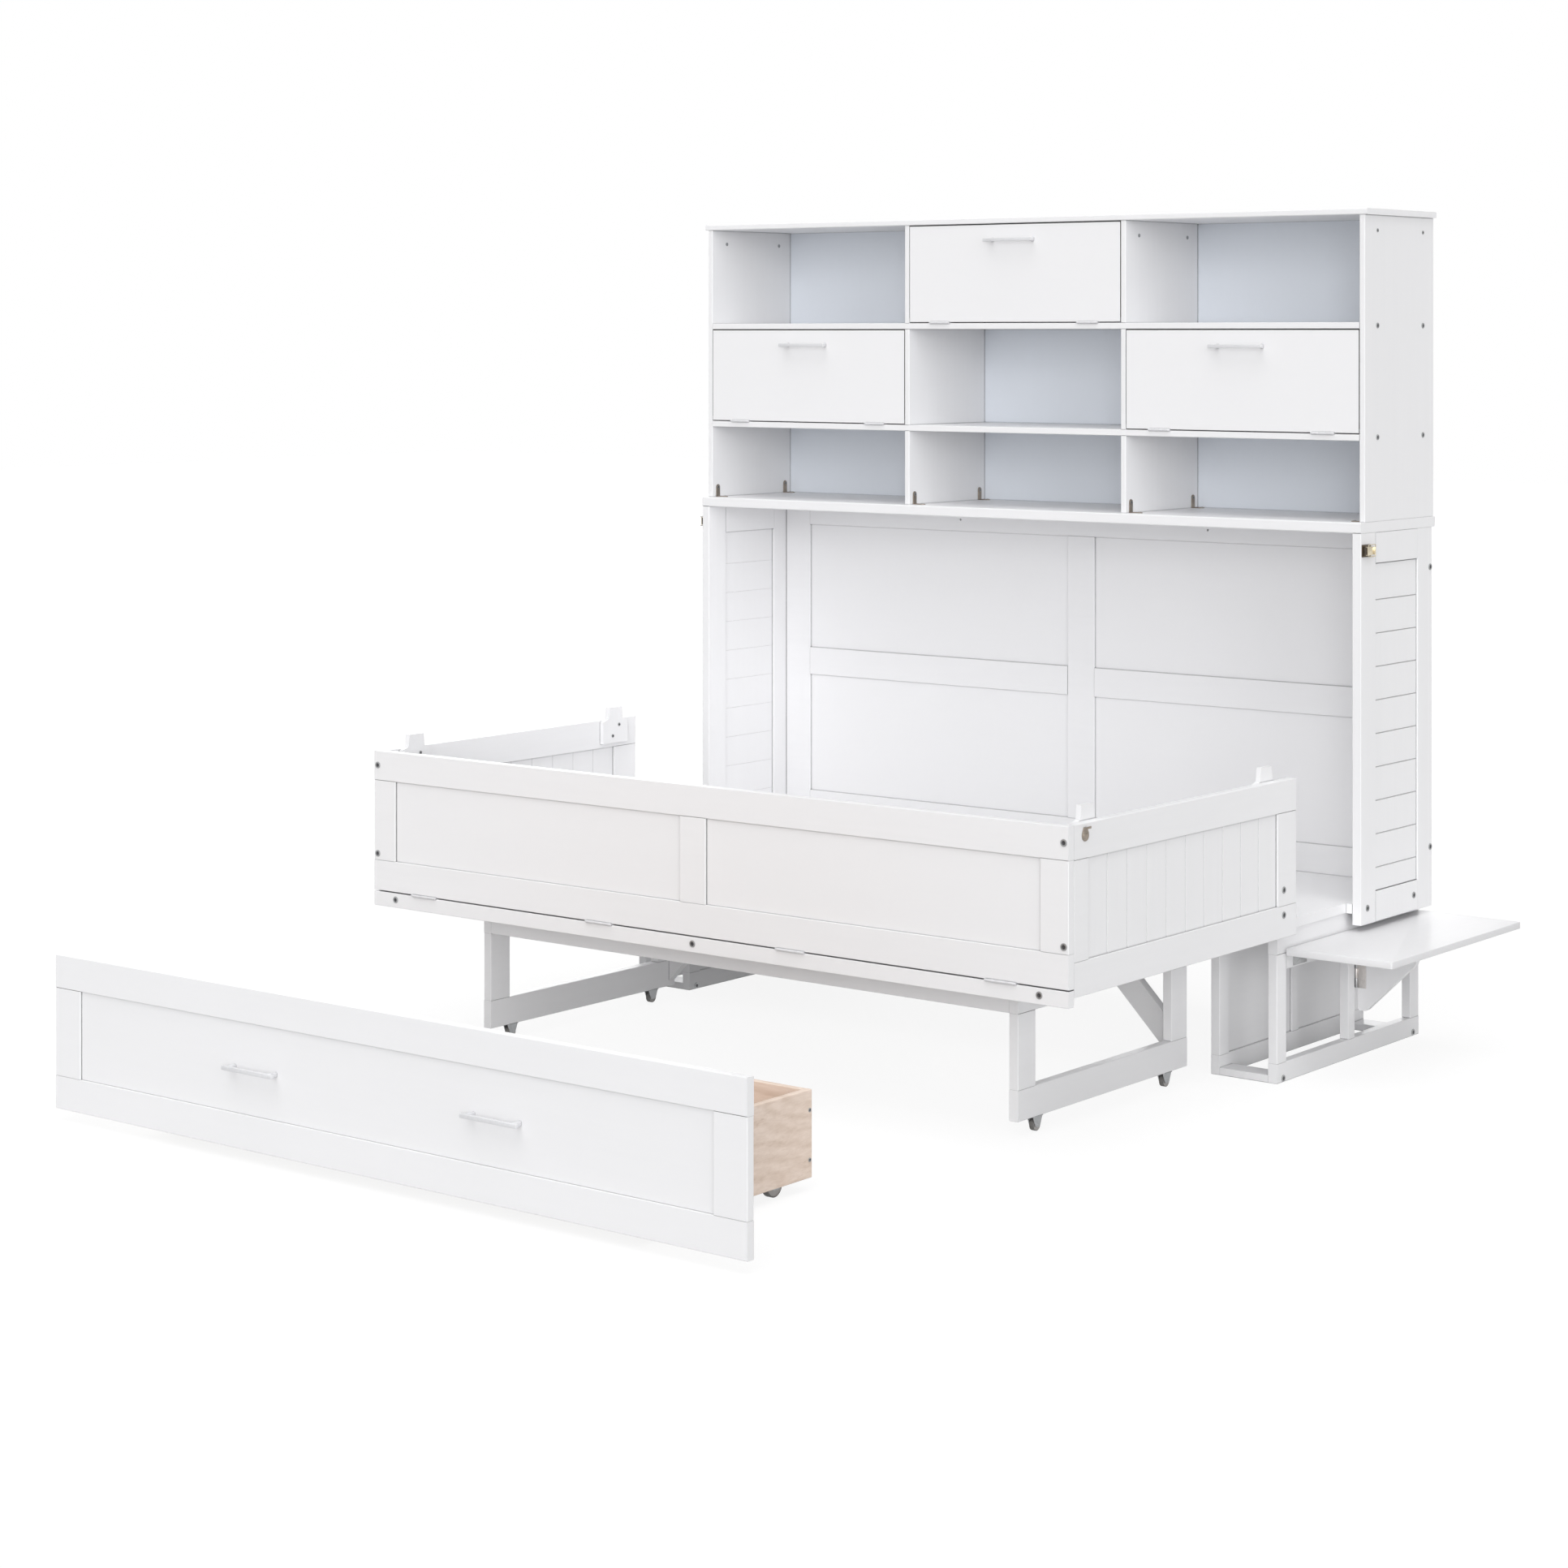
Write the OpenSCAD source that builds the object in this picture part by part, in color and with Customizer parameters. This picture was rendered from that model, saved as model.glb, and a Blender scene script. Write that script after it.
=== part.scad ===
// Wall bed for a mattress that lies along the wall. A cabinet with a bookcase on top
// stands on two pedestals. The bed box turns up through a quarter circle on two pins and
// closes the cabinet. A rolling cart carries the open bed, and a drawer on wheels stands
// in front. Lengths are millimetres. Inside the modules x = 0 is the middle of the
// cabinet, y = 0 the front edge of its sides, and z = 0 the floor. The place() module
// then moves everything so that the origin is the bottom centre of the whole object.

/* [Cabinet] */
// Outside width over the cabinet sides
outer_w = 2090; // [1900:5:2300]
// Thickness of the cabinet and bed side frames
side_t = 24; // [18:0.5:30]
// Depth of the cabinet sides
side_d = 374; // [340:1:460]
// Height of the cabinet sides
side_h = 960; // [880:1:1100]
// How far the cabinet sides hang below the deck
side_drop = 27; // [20:1:34]
// Width of the boards that frame the sides
frame_w = 76; // [60:1:90]
// Thickness of the boards that fill a frame
infill_t = 12; // [8:0.5:14]
// How far the filling boards lie behind the frame's outer face
infill_recess = 5; // [2:0.5:8]
// Width of one filling board of the cabinet sides
side_board_w = 82.6; // [60:0.1:110]
// How far the desk board and the pedestals reach behind the cabinet sides
desk_over = 17; // [6:1:40]
// Thickness of the desk board
desk_t = 26; // [18:0.5:36]
// Thickness of the back frame
back_t = 19; // [15:0.5:24]
// Thickness of the back panels
back_panel_t = 6; // [4:0.5:9]
// Width of the outer uprights of the back frame
back_stile_w = 87; // [60:1:110]
// Width of the middle upright of the back frame
back_mid_stile_w = 86; // [60:1:110]
// Height of the top board of the back frame
back_top_rail_h = 63; // [50:1:90]
// Height of the middle board of the back frame
back_mid_rail_h = 78; // [50:1:110]
// Height of the bottom board of the back frame above the deck
back_low_rail_h = 75; // [50:1:110]
// Height of the middle of the back's middle board above the floor
back_mid_z = 836; // [700:1:950]
// Distance between the two wall fixing holes
wall_hole_span = 800; // [400:10:1200]
// Radius of a wall fixing hole
wall_hole_r = 3; // [2:0.25:5]

/* [Base] */
// Height of a pedestal
ped_h = 362; // [330:1:400]
// Distance from the outer face of the cabinet to the outer face of a pedestal
ped_inset = 46; // [30:1:80]
// Width of a pedestal
ped_w = 181; // [140:1:240]
// How far the pedestals reach in front of the cabinet
ped_reach = 330; // [310:1:345]
// Thickness of the pedestal frames
stock_t = 24; // [18:0.5:30]
// Width of the end posts of a pedestal
post_w = 45; // [30:1:70]
// Width of the middle post of a pedestal
mid_post_w = 33; // [24:1:60]
// Front edge of the middle post, behind the cabinet's front
mid_post_y = 21; // [0:1:100]
// Height of the bottom board of a pedestal
ped_low_h = 47; // [30:1:70]
// Height of the top board of a pedestal
ped_top_h = 55.5; // [40:0.5:60]
// Thickness of the flat boards that tie two frames
tie_t = 18; // [12:0.5:24]
// Width of the flat tie boards
tie_w = 60; // [40:1:100]
// Thickness of the deck
deck_t = 24; // [18:0.5:30]
// How far the deck reaches in front of the bed's pivot
deck_lip = 23.5; // [20:0.5:25]
// How much the deck is cut back at its front corners
deck_notch = 17; // [15.5:0.5:24]

/* [Bookcase] */
// Distance from the outer face of the cabinet to the bookcase side
hutch_inset = 2; // [0:0.5:40]
// Thickness of the upright boards
hutch_t = 15; // [12:0.5:22]
// Thickness of the shelves
shelf_t = 16; // [12:0.5:22]
// Distance from the back of the bookcase to the rear edge of the desk board
hutch_back_gap = 4; // [1.5:0.5:40]
// Distance from the front of the desk to the front of the bookcase
hutch_setback = 24; // [10:1:60]
// Thickness of the bookcase back
hutch_back_t = 4; // [3:0.5:9]
// Clear height of the bottom cells
low_cell_h = 200; // [150:1:300]
// Clear height of the middle cells
mid_cell_h = 260; // [200:1:340]
// Clear height of the top cells
top_cell_h = 265; // [200:1:340]
// Thickness of the top board
top_t = 15; // [12:0.5:24]
// How far the top board stands out at each side
top_side_over = 8; // [2:1:20]
// How far the top board stands out at the front
top_front_over = 3.5; // [0.5:0.5:12]

/* [Flap doors] */
// Thickness of a flap
flap_t = 16; // [12:0.5:20]
// Gap at each side of a flap
flap_side_gap = 2; // [1:0.25:4]
// Gap above a flap
flap_top_gap = 3; // [1.5:0.25:6]
// Length of a flap hinge
flap_hinge_l = 64; // [40:1:90]
// Distance from the middle of a flap to each hinge
flap_hinge_x = 236; // [150:1:260]
// Distance from the top of a cell to the handle
flap_handle_drop = 44; // [25:1:90]

/* [Handles] */
// Length of a handle
handle_l = 156; // [100:1:220]
// Thickness of the handle bar
handle_t = 9; // [6:0.5:14]
// How far a handle stands out
handle_proud = 28; // [22:1:40]
// Distance from the end of the bar to a post
handle_inset = 14; // [8:1:30]

/* [Bed box] */
// Height of the bed sides
guard_h = 371; // [340:1:400]
// How far the bed sides reach below the pivot
guard_low = 14; // [8:1:17]
// Clearance between the closed bed and the cabinet
fold_gap = 1.5; // [0.5:0.5:4]
// Thickness of the bed's front
front_t = 22; // [18:0.5:25]
// Bottom of the bed's front above the pivot
front_low = 6; // [4:1:10]
// Height of the top board of the bed's front
front_top_h = 74; // [60:1:100]
// Height of the bottom board of the bed's front
front_low_h = 76; // [60:1:100]
// Width of the end uprights of the bed's front
front_stile_w = 73; // [60:1:100]
// Width of the middle upright of the bed's front
front_mid_w = 78; // [60:1:120]
// Thickness of the flat panels in the bed's front
front_panel_t = 10; // [6:0.5:12]
// Width of the front upright of a bed side
guard_front_w = 57.5; // [45:0.5:90]
// Width of the rear upright of a bed side
guard_rear_w = 87; // [70:0.5:110]
// Number of boards that fill a bed side
guard_boards = 10; // [6:1:14]
// Width of a tongue plate
tongue_w = 100; // [70:1:110]
// Height of a tongue plate below the edge of the side
tongue_low = 64; // [40:1:90]
// How far a tongue stands above the edge of the side
tongue_rise = 34; // [20:1:45]
// Width of the free end of a tongue
tongue_tip_w = 50; // [35:1:60]
// Thickness of a tongue plate
tongue_t = 13; // [8:0.5:14]
// Distance from the front of the bed side to the middle of the front tongue
tongue_front = 91; // [60:1:200]

/* [Platform] */
// Height of the lower front rail
rail_h = 36; // [30:1:40]
// Gap between the lower rail and the bed's front
rail_gap = 3; // [2.6:0.1:5]
// Width of a joist
joist_w = 32; // [24:1:50]
// Height of a joist
joist_h = 32; // [28:1:34]
// Distance from the outer face of the bed to the middle of an outer joist
joist_inset = 75; // [60:1:160]
// Thickness of a slat
slat_t = 15; // [10:0.5:20]
// Width of a slat
slat_w = 68; // [40:1:80]
// Number of slats
slat_count = 10; // [7:1:11]
// Gap from the end of a slat to the bed side
slat_end_gap = 9; // [6:1:30]
// Length of a platform hinge
plat_hinge_l = 82; // [60:1:120]
// Distance from the middle to the inner platform hinges
plat_hinge_in = 290; // [150:1:400]
// Distance from the end of the lower rail to the outer platform hinges
plat_hinge_end = 175; // [80:1:400]

/* [Pivot] */
// Radius of the pivot pin
pivot_r = 5; // [3:0.25:8]
// Thickness of the pivot plate
plate_t = 3; // [2:0.25:5]
// Width of the pivot plate
plate_w = 60; // [45:1:75]
// Height of the pivot plate
plate_h = 132; // [125:1:150]
// Radius of the collar on the pivot pin
collar_r = 9; // [7:0.5:12]
// Length of the pin inside the deck
pin_depth = 40; // [20:1:80]

/* [Cart] */
// Gap between a leg frame and the pedestal beside it
cart_gap = 7; // [4:0.5:60]
// Length of a leg frame
cart_l = 718; // [600:1:760]
// Clearance from the cart to the rear of the joists
cart_back = 42; // [20:1:120]
// Width of the cart boards
cart_board_w = 70; // [50:1:90]
// Width of the cart braces
brace_w = 60; // [40:1:80]
// Height of the brace's foot above the cart's bottom edge
brace_foot = 15; // [5:1:60]
// Height of a caster
caster_h = 35; // [30:1:50]
// Distance from the middle of a leg frame to each caster
caster_y = 275; // [200:1:300]
// Radius of a caster wheel
caster_r = 14; // [10:0.5:16]
// Width of a caster wheel
caster_w = 12; // [8:0.5:18]

/* [Drawer] */
// Distance from the outer face of the bed to the end of the drawer front
drawer_inset = 37.5; // [5:0.5:120]
// Height of the drawer front
drawer_h = 349; // [300:1:349]
// Gap between the drawer front and the floor
drawer_lift = 26; // [20:1:26]
// Thickness of the drawer front
drawer_t = 20; // [16:0.5:24]
// Distance from the bed's front to the back of the drawer front
drawer_out = 1029; // [600:1:1200]
// Width of the end uprights of the drawer front
drawer_stile_w = 84; // [60:1:110]
// Width of the long boards of the drawer front
drawer_rail_w = 75; // [60:1:100]
// Thickness of the panel in the drawer front
drawer_panel_t = 8; // [5:0.5:10]
// Distance from the end of the drawer front to the drawer box
box_inset = 287.5; // [235:0.5:450]
// Depth of the drawer box
box_d = 552; // [400:1:650]
// Height of the drawer box
box_h = 184; // [150:1:220]
// Thickness of the box boards
box_t = 15; // [12:0.5:20]
// Thickness of the box bottom
box_bottom_t = 6; // [4:0.5:9]
// Distance from the middle to a drawer handle
drawer_handle_x = 354; // [200:1:600]
// Radius of a drawer wheel
wheel_r = 25; // [20:0.5:25]
// Width of a drawer wheel
wheel_w = 16; // [10:0.5:24]
// Distance from the end of the box to the wheel's middle
wheel_in = 96; // [60:1:160]

/* [Side table] */
// Width of the table leaf
leaf_w = 281.5; // [200:0.5:320]
// Length of the table leaf
leaf_l = 678; // [500:1:678]
// Front edge of the leaf, in front of the cabinet
leaf_front = 298; // [240:1:298]
// Thickness of the leaf
leaf_t = 16.5; // [12:0.5:18]
// Gap between the leaf and the cabinet side above it
leaf_gap = 16.5; // [12:0.5:24]
// Length of a leaf hinge
leaf_hinge_l = 64; // [40:1:90]
// Reach of the bracket
bracket_reach = 160; // [120:1:200]
// Height of the bracket
bracket_h = 187; // [150:1:220]
// Height of the bracket's outer edge
bracket_nose = 54; // [30:1:80]
// Width of the bracket's lower edge
bracket_foot = 24; // [15:1:40]
// Thickness of the bracket
bracket_t = 16; // [12:0.5:20]
// Length of the bracket hinge
bracket_hinge_l = 72; // [50:1:120]

/* [Latch] */
// Distance from the desk board down to the latch
latch_drop = 43; // [30:1:110]
// Length of the latch base
latch_l = 44; // [40:1:60]
// Height of the latch base
latch_h = 30; // [26:0.5:36]
// Distance from the cabinet's front to the latch base
latch_y = 4; // [2:0.5:10]
// Distance from the base's end to the lever pin
lever_pin_y = 10; // [8:0.5:12]
// Distance from the lever pin to the loop pin
loop_pin_y = 8; // [6:0.5:9]
// Height of the lever pin above the wood
lever_pin_x = 9; // [8:0.5:12]
// Radius of the loop wire
wire_r = 1.2; // [0.8:0.1:1.6]
// How far the catch nose stands out
keeper_h = 12; // [11:0.5:14]
// Width of the catch nose
keeper_w = 14; // [10:0.5:18]
// Height of the catch plate
keeper_plate_h = 30; // [26:1:36]

/* [Hardware] */
// Radius of a bolt head
bolt_head_r = 8; // [5:0.5:10]
// Height of a bolt head
bolt_head_h = 1.6; // [1:0.1:2.2]
// Radius of a bolt shank
bolt_r = 3; // [2:0.25:4]
// Radius of a screw head
screw_head_r = 4.5; // [3:0.25:6]
// Radius of a screw shank
screw_r = 1.8; // [1:0.1:2.5]
// Radius of a hinge knuckle
knuckle_r = 3; // [2.5:0.1:4]
// Radius of a hinge pin
hinge_pin_r = 1.5; // [1:0.1:1.8]
// Thickness of a hinge plate
hinge_t = 1; // [0.8:0.1:1.3]
// Length of the leg of a corner bracket
bracket_leg = 35; // [20:1:50]
// Width of a corner bracket
bracket_strip = 15; // [10:0.5:20]
// Thickness of a corner bracket
bracket_plate_t = 2; // [1:0.25:3]

/* [Hidden] */

$fn = 48;
seam = 0.3;        // line left between two boards that butt
ease = 1.2;        // broken edge along each board
pin_play = 0.05;   // clearance round a turning pin
bolt_play = 0.15;  // clearance round a fixed bolt
slide_gap = 0.5;   // gap between the joists and the cart
platform_gap = 5.5; // gap between the deck and the joists and slats
tongue_gap = 5;    // from the end of the joists to the rear tongue plates
eps = 0.01;

white = "#eeeef1";
cool_white = "#e4e5e9";
back_grey = "#c9cfd6";
pine = "#d8c6b4";
zinc = "#a9acae";
bronze = "#8d8272";
caster_grey = "#8b8f91";
tyre_grey = "#4a4b4d";

half_w = outer_w / 2;
in_half = half_w - side_t;
side_z0 = ped_h - side_drop;
desk_z0 = side_z0 + side_h;
desk_top = desk_z0 + desk_t;
deck_top = ped_h + deck_t;
desk_d = side_d + desk_over;
ped_outer = half_w - ped_inset;
ped_inner = ped_outer - ped_w;
back_y = side_d - back_t;
back_z0 = ped_h + seam;
back_low_z1 = deck_top + back_low_rail_h;
back_z1 = desk_z0 - seam;
back_half = in_half - seam;
back_mid_z0 = back_mid_z - back_mid_rail_h / 2;
wall_y = desk_d;

pivot_z = ped_h + deck_t / 2;
bed_z0 = pivot_z - guard_low;
bed_top = bed_z0 + guard_h;
pivot_y = -(bed_top - pivot_z) - fold_gap;
deck_reach = deck_lip - pivot_y;
bed_back = pivot_y + pivot_z - side_z0;
bed_front = pivot_y - (desk_z0 - pivot_z);
front_y = bed_front - front_t;
front_z0 = pivot_z + front_low;
rail_z0 = front_z0 - rail_gap - rail_h;
joist_z1 = front_z0 - rail_gap;
joist_z0 = joist_z1 - joist_h;
platform_back = -deck_reach - platform_gap;
joist_x = half_w - joist_inset;
plat_hinge_out = half_w - plat_hinge_end;
guard_fill_y0 = bed_front + guard_front_w;
guard_fill_y1 = bed_back - guard_rear_w;
deck_front_half = in_half - deck_notch;
tongue_rear_y = platform_back - tongue_tip_w / 2 - tongue_gap;
tongue_front_y = bed_front + tongue_front;
tongue_x = in_half - seam;

hutch_half = half_w - hutch_inset;
hutch_in = hutch_half - hutch_t;
hutch_d = desk_d - hutch_setback - hutch_back_gap;
hutch_y = hutch_setback;
hutch_back_y = hutch_y + hutch_d - hutch_back_t;
cell_w = (2 * hutch_in - 2 * hutch_t) / 3;
divider_x = cell_w / 2 + hutch_t / 2;
cell_h = [low_cell_h, mid_cell_h, top_cell_h];
cell_z = [desk_top, desk_top + low_cell_h + shelf_t,
          desk_top + low_cell_h + mid_cell_h + 2 * shelf_t];
top_z = cell_z[2] + top_cell_h;
flap_low_gap = 2 * hinge_t + 0.6;
hinge_half_gap = 0.3;
flap_axis_y = hutch_y - knuckle_r - 0.2;
flap_h_mid = mid_cell_h - flap_low_gap - flap_top_gap;
flap_h_top = top_cell_h - flap_low_gap - flap_top_gap;
cell_step = cell_w + hutch_t;

cart_top = joist_z0 - slide_gap;
cart_y1 = platform_back - cart_back;
cart_y0 = cart_y1 - cart_l;
cart_mid = (cart_y0 + cart_y1) / 2;
cart_half = ped_inner - cart_gap;
cart_x = cart_half - stock_t / 2;
cart_in = cart_half - stock_t;

drawer_half = half_w - drawer_inset;
drawer_y1 = front_y - drawer_out;
drawer_y0 = drawer_y1 - drawer_t;
drawer_top = drawer_lift + drawer_h;
box_y1 = drawer_y1 + box_d;
box_half = drawer_half - box_inset;
fork_side = 6;
wheel_x = box_half - box_t - wheel_w / 2 - fork_side - 1;
box_bottom_z = 2 * wheel_r + 6;
wheel_front_y = drawer_y1 + wheel_in;
wheel_rear_y = box_y1 - wheel_in;
fork_t = 2;

leaf_z1 = side_z0 - leaf_gap;
leaf_z0 = leaf_z1 - leaf_t;
leaf_axis_x = ped_outer + knuckle_r + 0.2;
leaf_axis_z = leaf_z0 - knuckle_r;
leaf_seat_l = 25;
batten_z0 = leaf_axis_z - knuckle_r - leaf_seat_l - 4;
leaf_x0 = leaf_axis_x + knuckle_r - 0.5;
leaf_x1 = leaf_x0 + leaf_w;
bracket_axis_x = ped_outer + knuckle_r + 0.2;
bracket_axis_y = mid_post_y + mid_post_w + 2;
bracket_x0 = bracket_axis_x + knuckle_r - 0.5;
bracket_y0 = bracket_axis_y + knuckle_r;
bracket_z1 = leaf_z0 - seam;
bracket_mid_z = bracket_z1 - bracket_h / 2 - 2;
leaf_hinge_y = [-leaf_front + 78, leaf_l - leaf_front - 78];

latch_z = desk_z0 - latch_drop;
keeper_y = pivot_y - (latch_z - pivot_z);
keeper_z = bed_top - 9;
pin_y = latch_y + lever_pin_y;
loop_y = pin_y + loop_pin_y;
loop_l = 36;

deck_bolt_y = [33, side_d - 98];
back_bolt_z = [side_z0 + 150, desk_z0 - 101];
hutch_screw_y = [hutch_y + 65, hutch_y + hutch_d - 58];
hutch_screw_z = [cell_z[1] - shelf_t / 2, cell_z[2] - shelf_t / 2];
top_screw_z = top_z - 38;
front_bolt_z = [bed_top - 36, front_z0 + 92];
plate_bolt_z = [pivot_z + 40, pivot_z + 99];
box_screw_z = [drawer_lift + 38, drawer_lift + box_h - 42];

x_low = -max(half_w, hutch_half + top_side_over);
x_high = max(leaf_x1, hutch_half + top_side_over);
y_low = drawer_y0 + infill_recess - handle_proud;
mid_x = (x_low + x_high) / 2;
mid_y = (y_low + wall_y) / 2;

module place() {
  translate([-mid_x, -mid_y, 0]) children();
}

// A copy on each side of the middle
module both_sides() {
  for (s = [0, 1]) mirror([s, 0, 0]) children();
}

module eased_outline(a, b, e) {
  polygon([[e, 0], [a - e, 0], [a, e], [a, b - e], [a - e, b], [e, b], [0, b - e], [0, e]]);
}

// A board between two opposite corners, with its long edges broken
module board(lo, hi, along = "x", e = ease) {
  size = hi - lo;
  translate(lo) {
    if (along == "x")
      rotate([90, 0, 90]) linear_extrude(size[0]) eased_outline(size[1], size[2], e);
    if (along == "y")
      translate([0, size[1], 0]) rotate([90, 0, 0])
        linear_extrude(size[1]) eased_outline(size[0], size[2], e);
    if (along == "z")
      linear_extrude(size[2]) eased_outline(size[0], size[1], e);
  }
}

// A filling board that shows a groove only on its outer side, at high x
module plank(lo, hi, along, e = 1.8) {
  size = hi - lo;
  b = along == "y" ? size[2] : size[1];
  l = along == "y" ? size[1] : size[2];
  translate(along == "y" ? lo + [0, l, 0] : lo) rotate([along == "y" ? 90 : 0, 0, 0])
    linear_extrude(l)
      polygon([[0, 0], [size[0] - e, 0], [size[0], e], [size[0], b - e], [size[0] - e, b], [0, b]]);
}

// A bolt or screw whose head stands on z = 0, and the hole for it
module bolt(l, head_r = bolt_head_r, shank_r = bolt_r) {
  difference() {
    union() {
      cylinder(r = head_r, h = bolt_head_h);
      translate([0, 0, -l]) cylinder(r = shank_r, h = l + eps);
    }
    translate([0, 0, bolt_head_h / 2]) cylinder(r = head_r * 0.45, h = bolt_head_h, $fn = 6);
  }
}

module bolt_hole(l, shank_r = bolt_r) {
  translate([0, 0, -l - 1]) cylinder(r = shank_r + bolt_play, h = l + 2);
}

// Half of a hinge. Its axis lies along x, and its plate reaches out along +y.
module hinge_seat(l, off, plate_w) {
  third = l / 3;
  gap = hinge_half_gap;
  for (s = [-1, 1]) {
    translate([s * third, 0, 0]) rotate([0, 90, 0])
      cylinder(r = knuckle_r, h = third - gap, center = true);
    translate([s * third - (third - gap) / 2, 0, off])
      cube([third - gap, knuckle_r + gap + eps, hinge_t]);
  }
  rotate([0, 90, 0]) cylinder(r = hinge_pin_r, h = l - gap, center = true);
  translate([-l / 2, knuckle_r + gap, off]) cube([l, plate_w, hinge_t]);
}

module hinge_leaf(l, off, plate_w) {
  third = l / 3;
  gap = hinge_half_gap;
  difference() {
    union() {
      rotate([0, 90, 0]) cylinder(r = knuckle_r, h = third - gap, center = true);
      translate([-(third - gap) / 2, 0, off])
        cube([third - gap, knuckle_r + gap + eps, hinge_t]);
      translate([-l / 2, knuckle_r + gap, off]) cube([l, plate_w, hinge_t]);
    }
    rotate([0, 90, 0]) cylinder(r = hinge_pin_r + pin_play, h = l, center = true);
  }
}

// A bar handle on the plane y = 0, standing out towards -y
module handle() {
  depth = handle_proud;
  translate([-handle_l / 2, -depth, -handle_t / 2]) cube([handle_l, handle_t, handle_t]);
  for (s = [-1, 1])
    translate([s * (handle_l / 2 - handle_inset) - handle_t / 2, -depth + handle_t - eps,
               -handle_t / 2])
      cube([handle_t, depth - handle_t + eps, handle_t]);
}

// Places of the bolts. Each child stands with +z out of the wood.
module at_deck_bolts() {
  for (y = deck_bolt_y) translate([half_w, y, pivot_z]) rotate([0, 90, 0]) children();
}

module at_back_bolts() {
  for (z = back_bolt_z)
    translate([half_w, back_y + back_t / 2, z]) rotate([0, 90, 0]) children();
}

module at_tie_bolts() {
  for (p = [[-ped_reach + tie_w / 2, tie_t / 2], [desk_d - tie_w / 2, tie_t / 2],
            [-ped_reach + tie_w / 2, ped_h - tie_t / 2]]) {
    translate([ped_outer, p[0], p[1]]) rotate([0, 90, 0]) children();
    translate([ped_inner, p[0], p[1]]) rotate([0, -90, 0]) children();
  }
}

module at_hutch_screws() {
  for (y = hutch_screw_y)
    for (z = hutch_screw_z)
      translate([hutch_half, y, z]) rotate([0, 90, 0]) children();
}

module at_top_screws() {
  for (y = hutch_screw_y)
    translate([hutch_half, y, top_screw_z]) rotate([0, 90, 0]) children();
}

module at_front_bolts() {
  for (z = front_bolt_z)
    translate([half_w - side_t / 2, front_y, z]) rotate([90, 0, 0]) children();
}

module at_plate_bolts() {
  for (z = plate_bolt_z)
    translate([half_w, pivot_y - 20, z]) rotate([0, 90, 0]) children();
}

module at_rail_bolts() {
  for (x = [-joist_x, 0, joist_x])
    translate([x, front_y, joist_z1 - joist_h / 2]) rotate([90, 0, 0]) children();
}

module at_box_screws() {
  for (z = box_screw_z)
    translate([box_half, box_y1 - box_t / 2, z]) rotate([0, 90, 0]) children();
}

module at_tongue_screws() {
  for (y = [tongue_front_y, tongue_rear_y])
    for (p = [[tongue_w * 0.14, tongue_low - 15], [-tongue_w * 0.12, tongue_low - 44]])
      translate([tongue_x - tongue_t, y + p[0], bed_top - tongue_low + p[1]])
        rotate([0, -90, 0]) children();
}

deck_bolt_l = side_t + 40;
back_bolt_l = side_t + 40;
tie_bolt_l = stock_t + 30;
hutch_screw_l = hutch_t + 30;
top_screw_l = hutch_t;
front_bolt_l = front_t + 35;
plate_bolt_l = side_t + plate_t;
rail_bolt_l = front_t + 40;
box_screw_l = box_t + 25;
tongue_screw_l = tongue_t;

// Base

module pedestal_frame(x0) {
  x1 = x0 + stock_t;
  board([x0, -ped_reach, 0], [x1, desk_d, ped_low_h], "y");
  board([x0, -ped_reach, ped_h - ped_top_h], [x1, desk_d, ped_h], "y");
  z0 = ped_low_h + seam;
  z1 = ped_h - ped_top_h - seam;
  board([x0, -ped_reach, z0], [x1, -ped_reach + post_w, z1], "z");
  board([x0, mid_post_y, z0], [x1, mid_post_y + mid_post_w, z1], "z");
  board([x0, desk_d - post_w, z0], [x1, desk_d, z1], "z");
}

module pedestal_panels() {
  x0 = ped_inner + (stock_t - infill_t) / 2;
  for (y = [[-ped_reach + post_w, mid_post_y], [mid_post_y + mid_post_w, desk_d - post_w]])
    translate([x0, y[0] + seam, ped_low_h + seam])
      cube([infill_t, y[1] - y[0] - 2 * seam, ped_h - ped_top_h - ped_low_h - 2 * seam]);
}

module pedestal_ties() {
  x0 = ped_inner + stock_t + seam;
  x1 = ped_outer - stock_t - seam;
  for (y = [-ped_reach, desk_d - tie_w])
    for (z = [0, ped_h - tie_t])
      board([x0, y, z], [x1, y + tie_w, z + tie_t], "x");
}

module pedestal() {
  difference() {
    union() {
      pedestal_frame(ped_outer - stock_t);
      pedestal_frame(ped_inner);
      pedestal_ties();
    }
    at_tie_bolts() bolt_hole(tie_bolt_l);
  }
  pedestal_panels();
}

module pedestal_left() {
  color(white) place() mirror([1, 0, 0]) pedestal();
}

// The right pedestal has battens under its top board for the hinges of the side table
module pedestal_right() {
  color(white) place() {
    pedestal();
    for (y = [[-ped_reach + post_w, mid_post_y], [mid_post_y + mid_post_w, desk_d - post_w]])
      board([ped_outer - stock_t, y[0] + seam, batten_z0],
            [ped_outer, y[1] - seam, ped_h - ped_top_h - seam], "y");
  }
}

module base_deck() {
  w = in_half - seam;
  n = deck_front_half;
  y1 = back_y - seam;
  color(white) place() difference() {
    translate([0, 0, ped_h]) linear_extrude(deck_t)
      polygon([[-n, -deck_reach], [n, -deck_reach], [n, 0], [w, 0], [w, y1],
               [-w, y1], [-w, 0], [-n, 0]]);
    both_sides() {
      at_deck_bolts() bolt_hole(deck_bolt_l);
      translate([n - pin_depth, pivot_y, pivot_z]) rotate([0, 90, 0])
        cylinder(r = pivot_r + pin_play, h = pin_depth + 1);
    }
  }
}

// Cabinet

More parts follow.
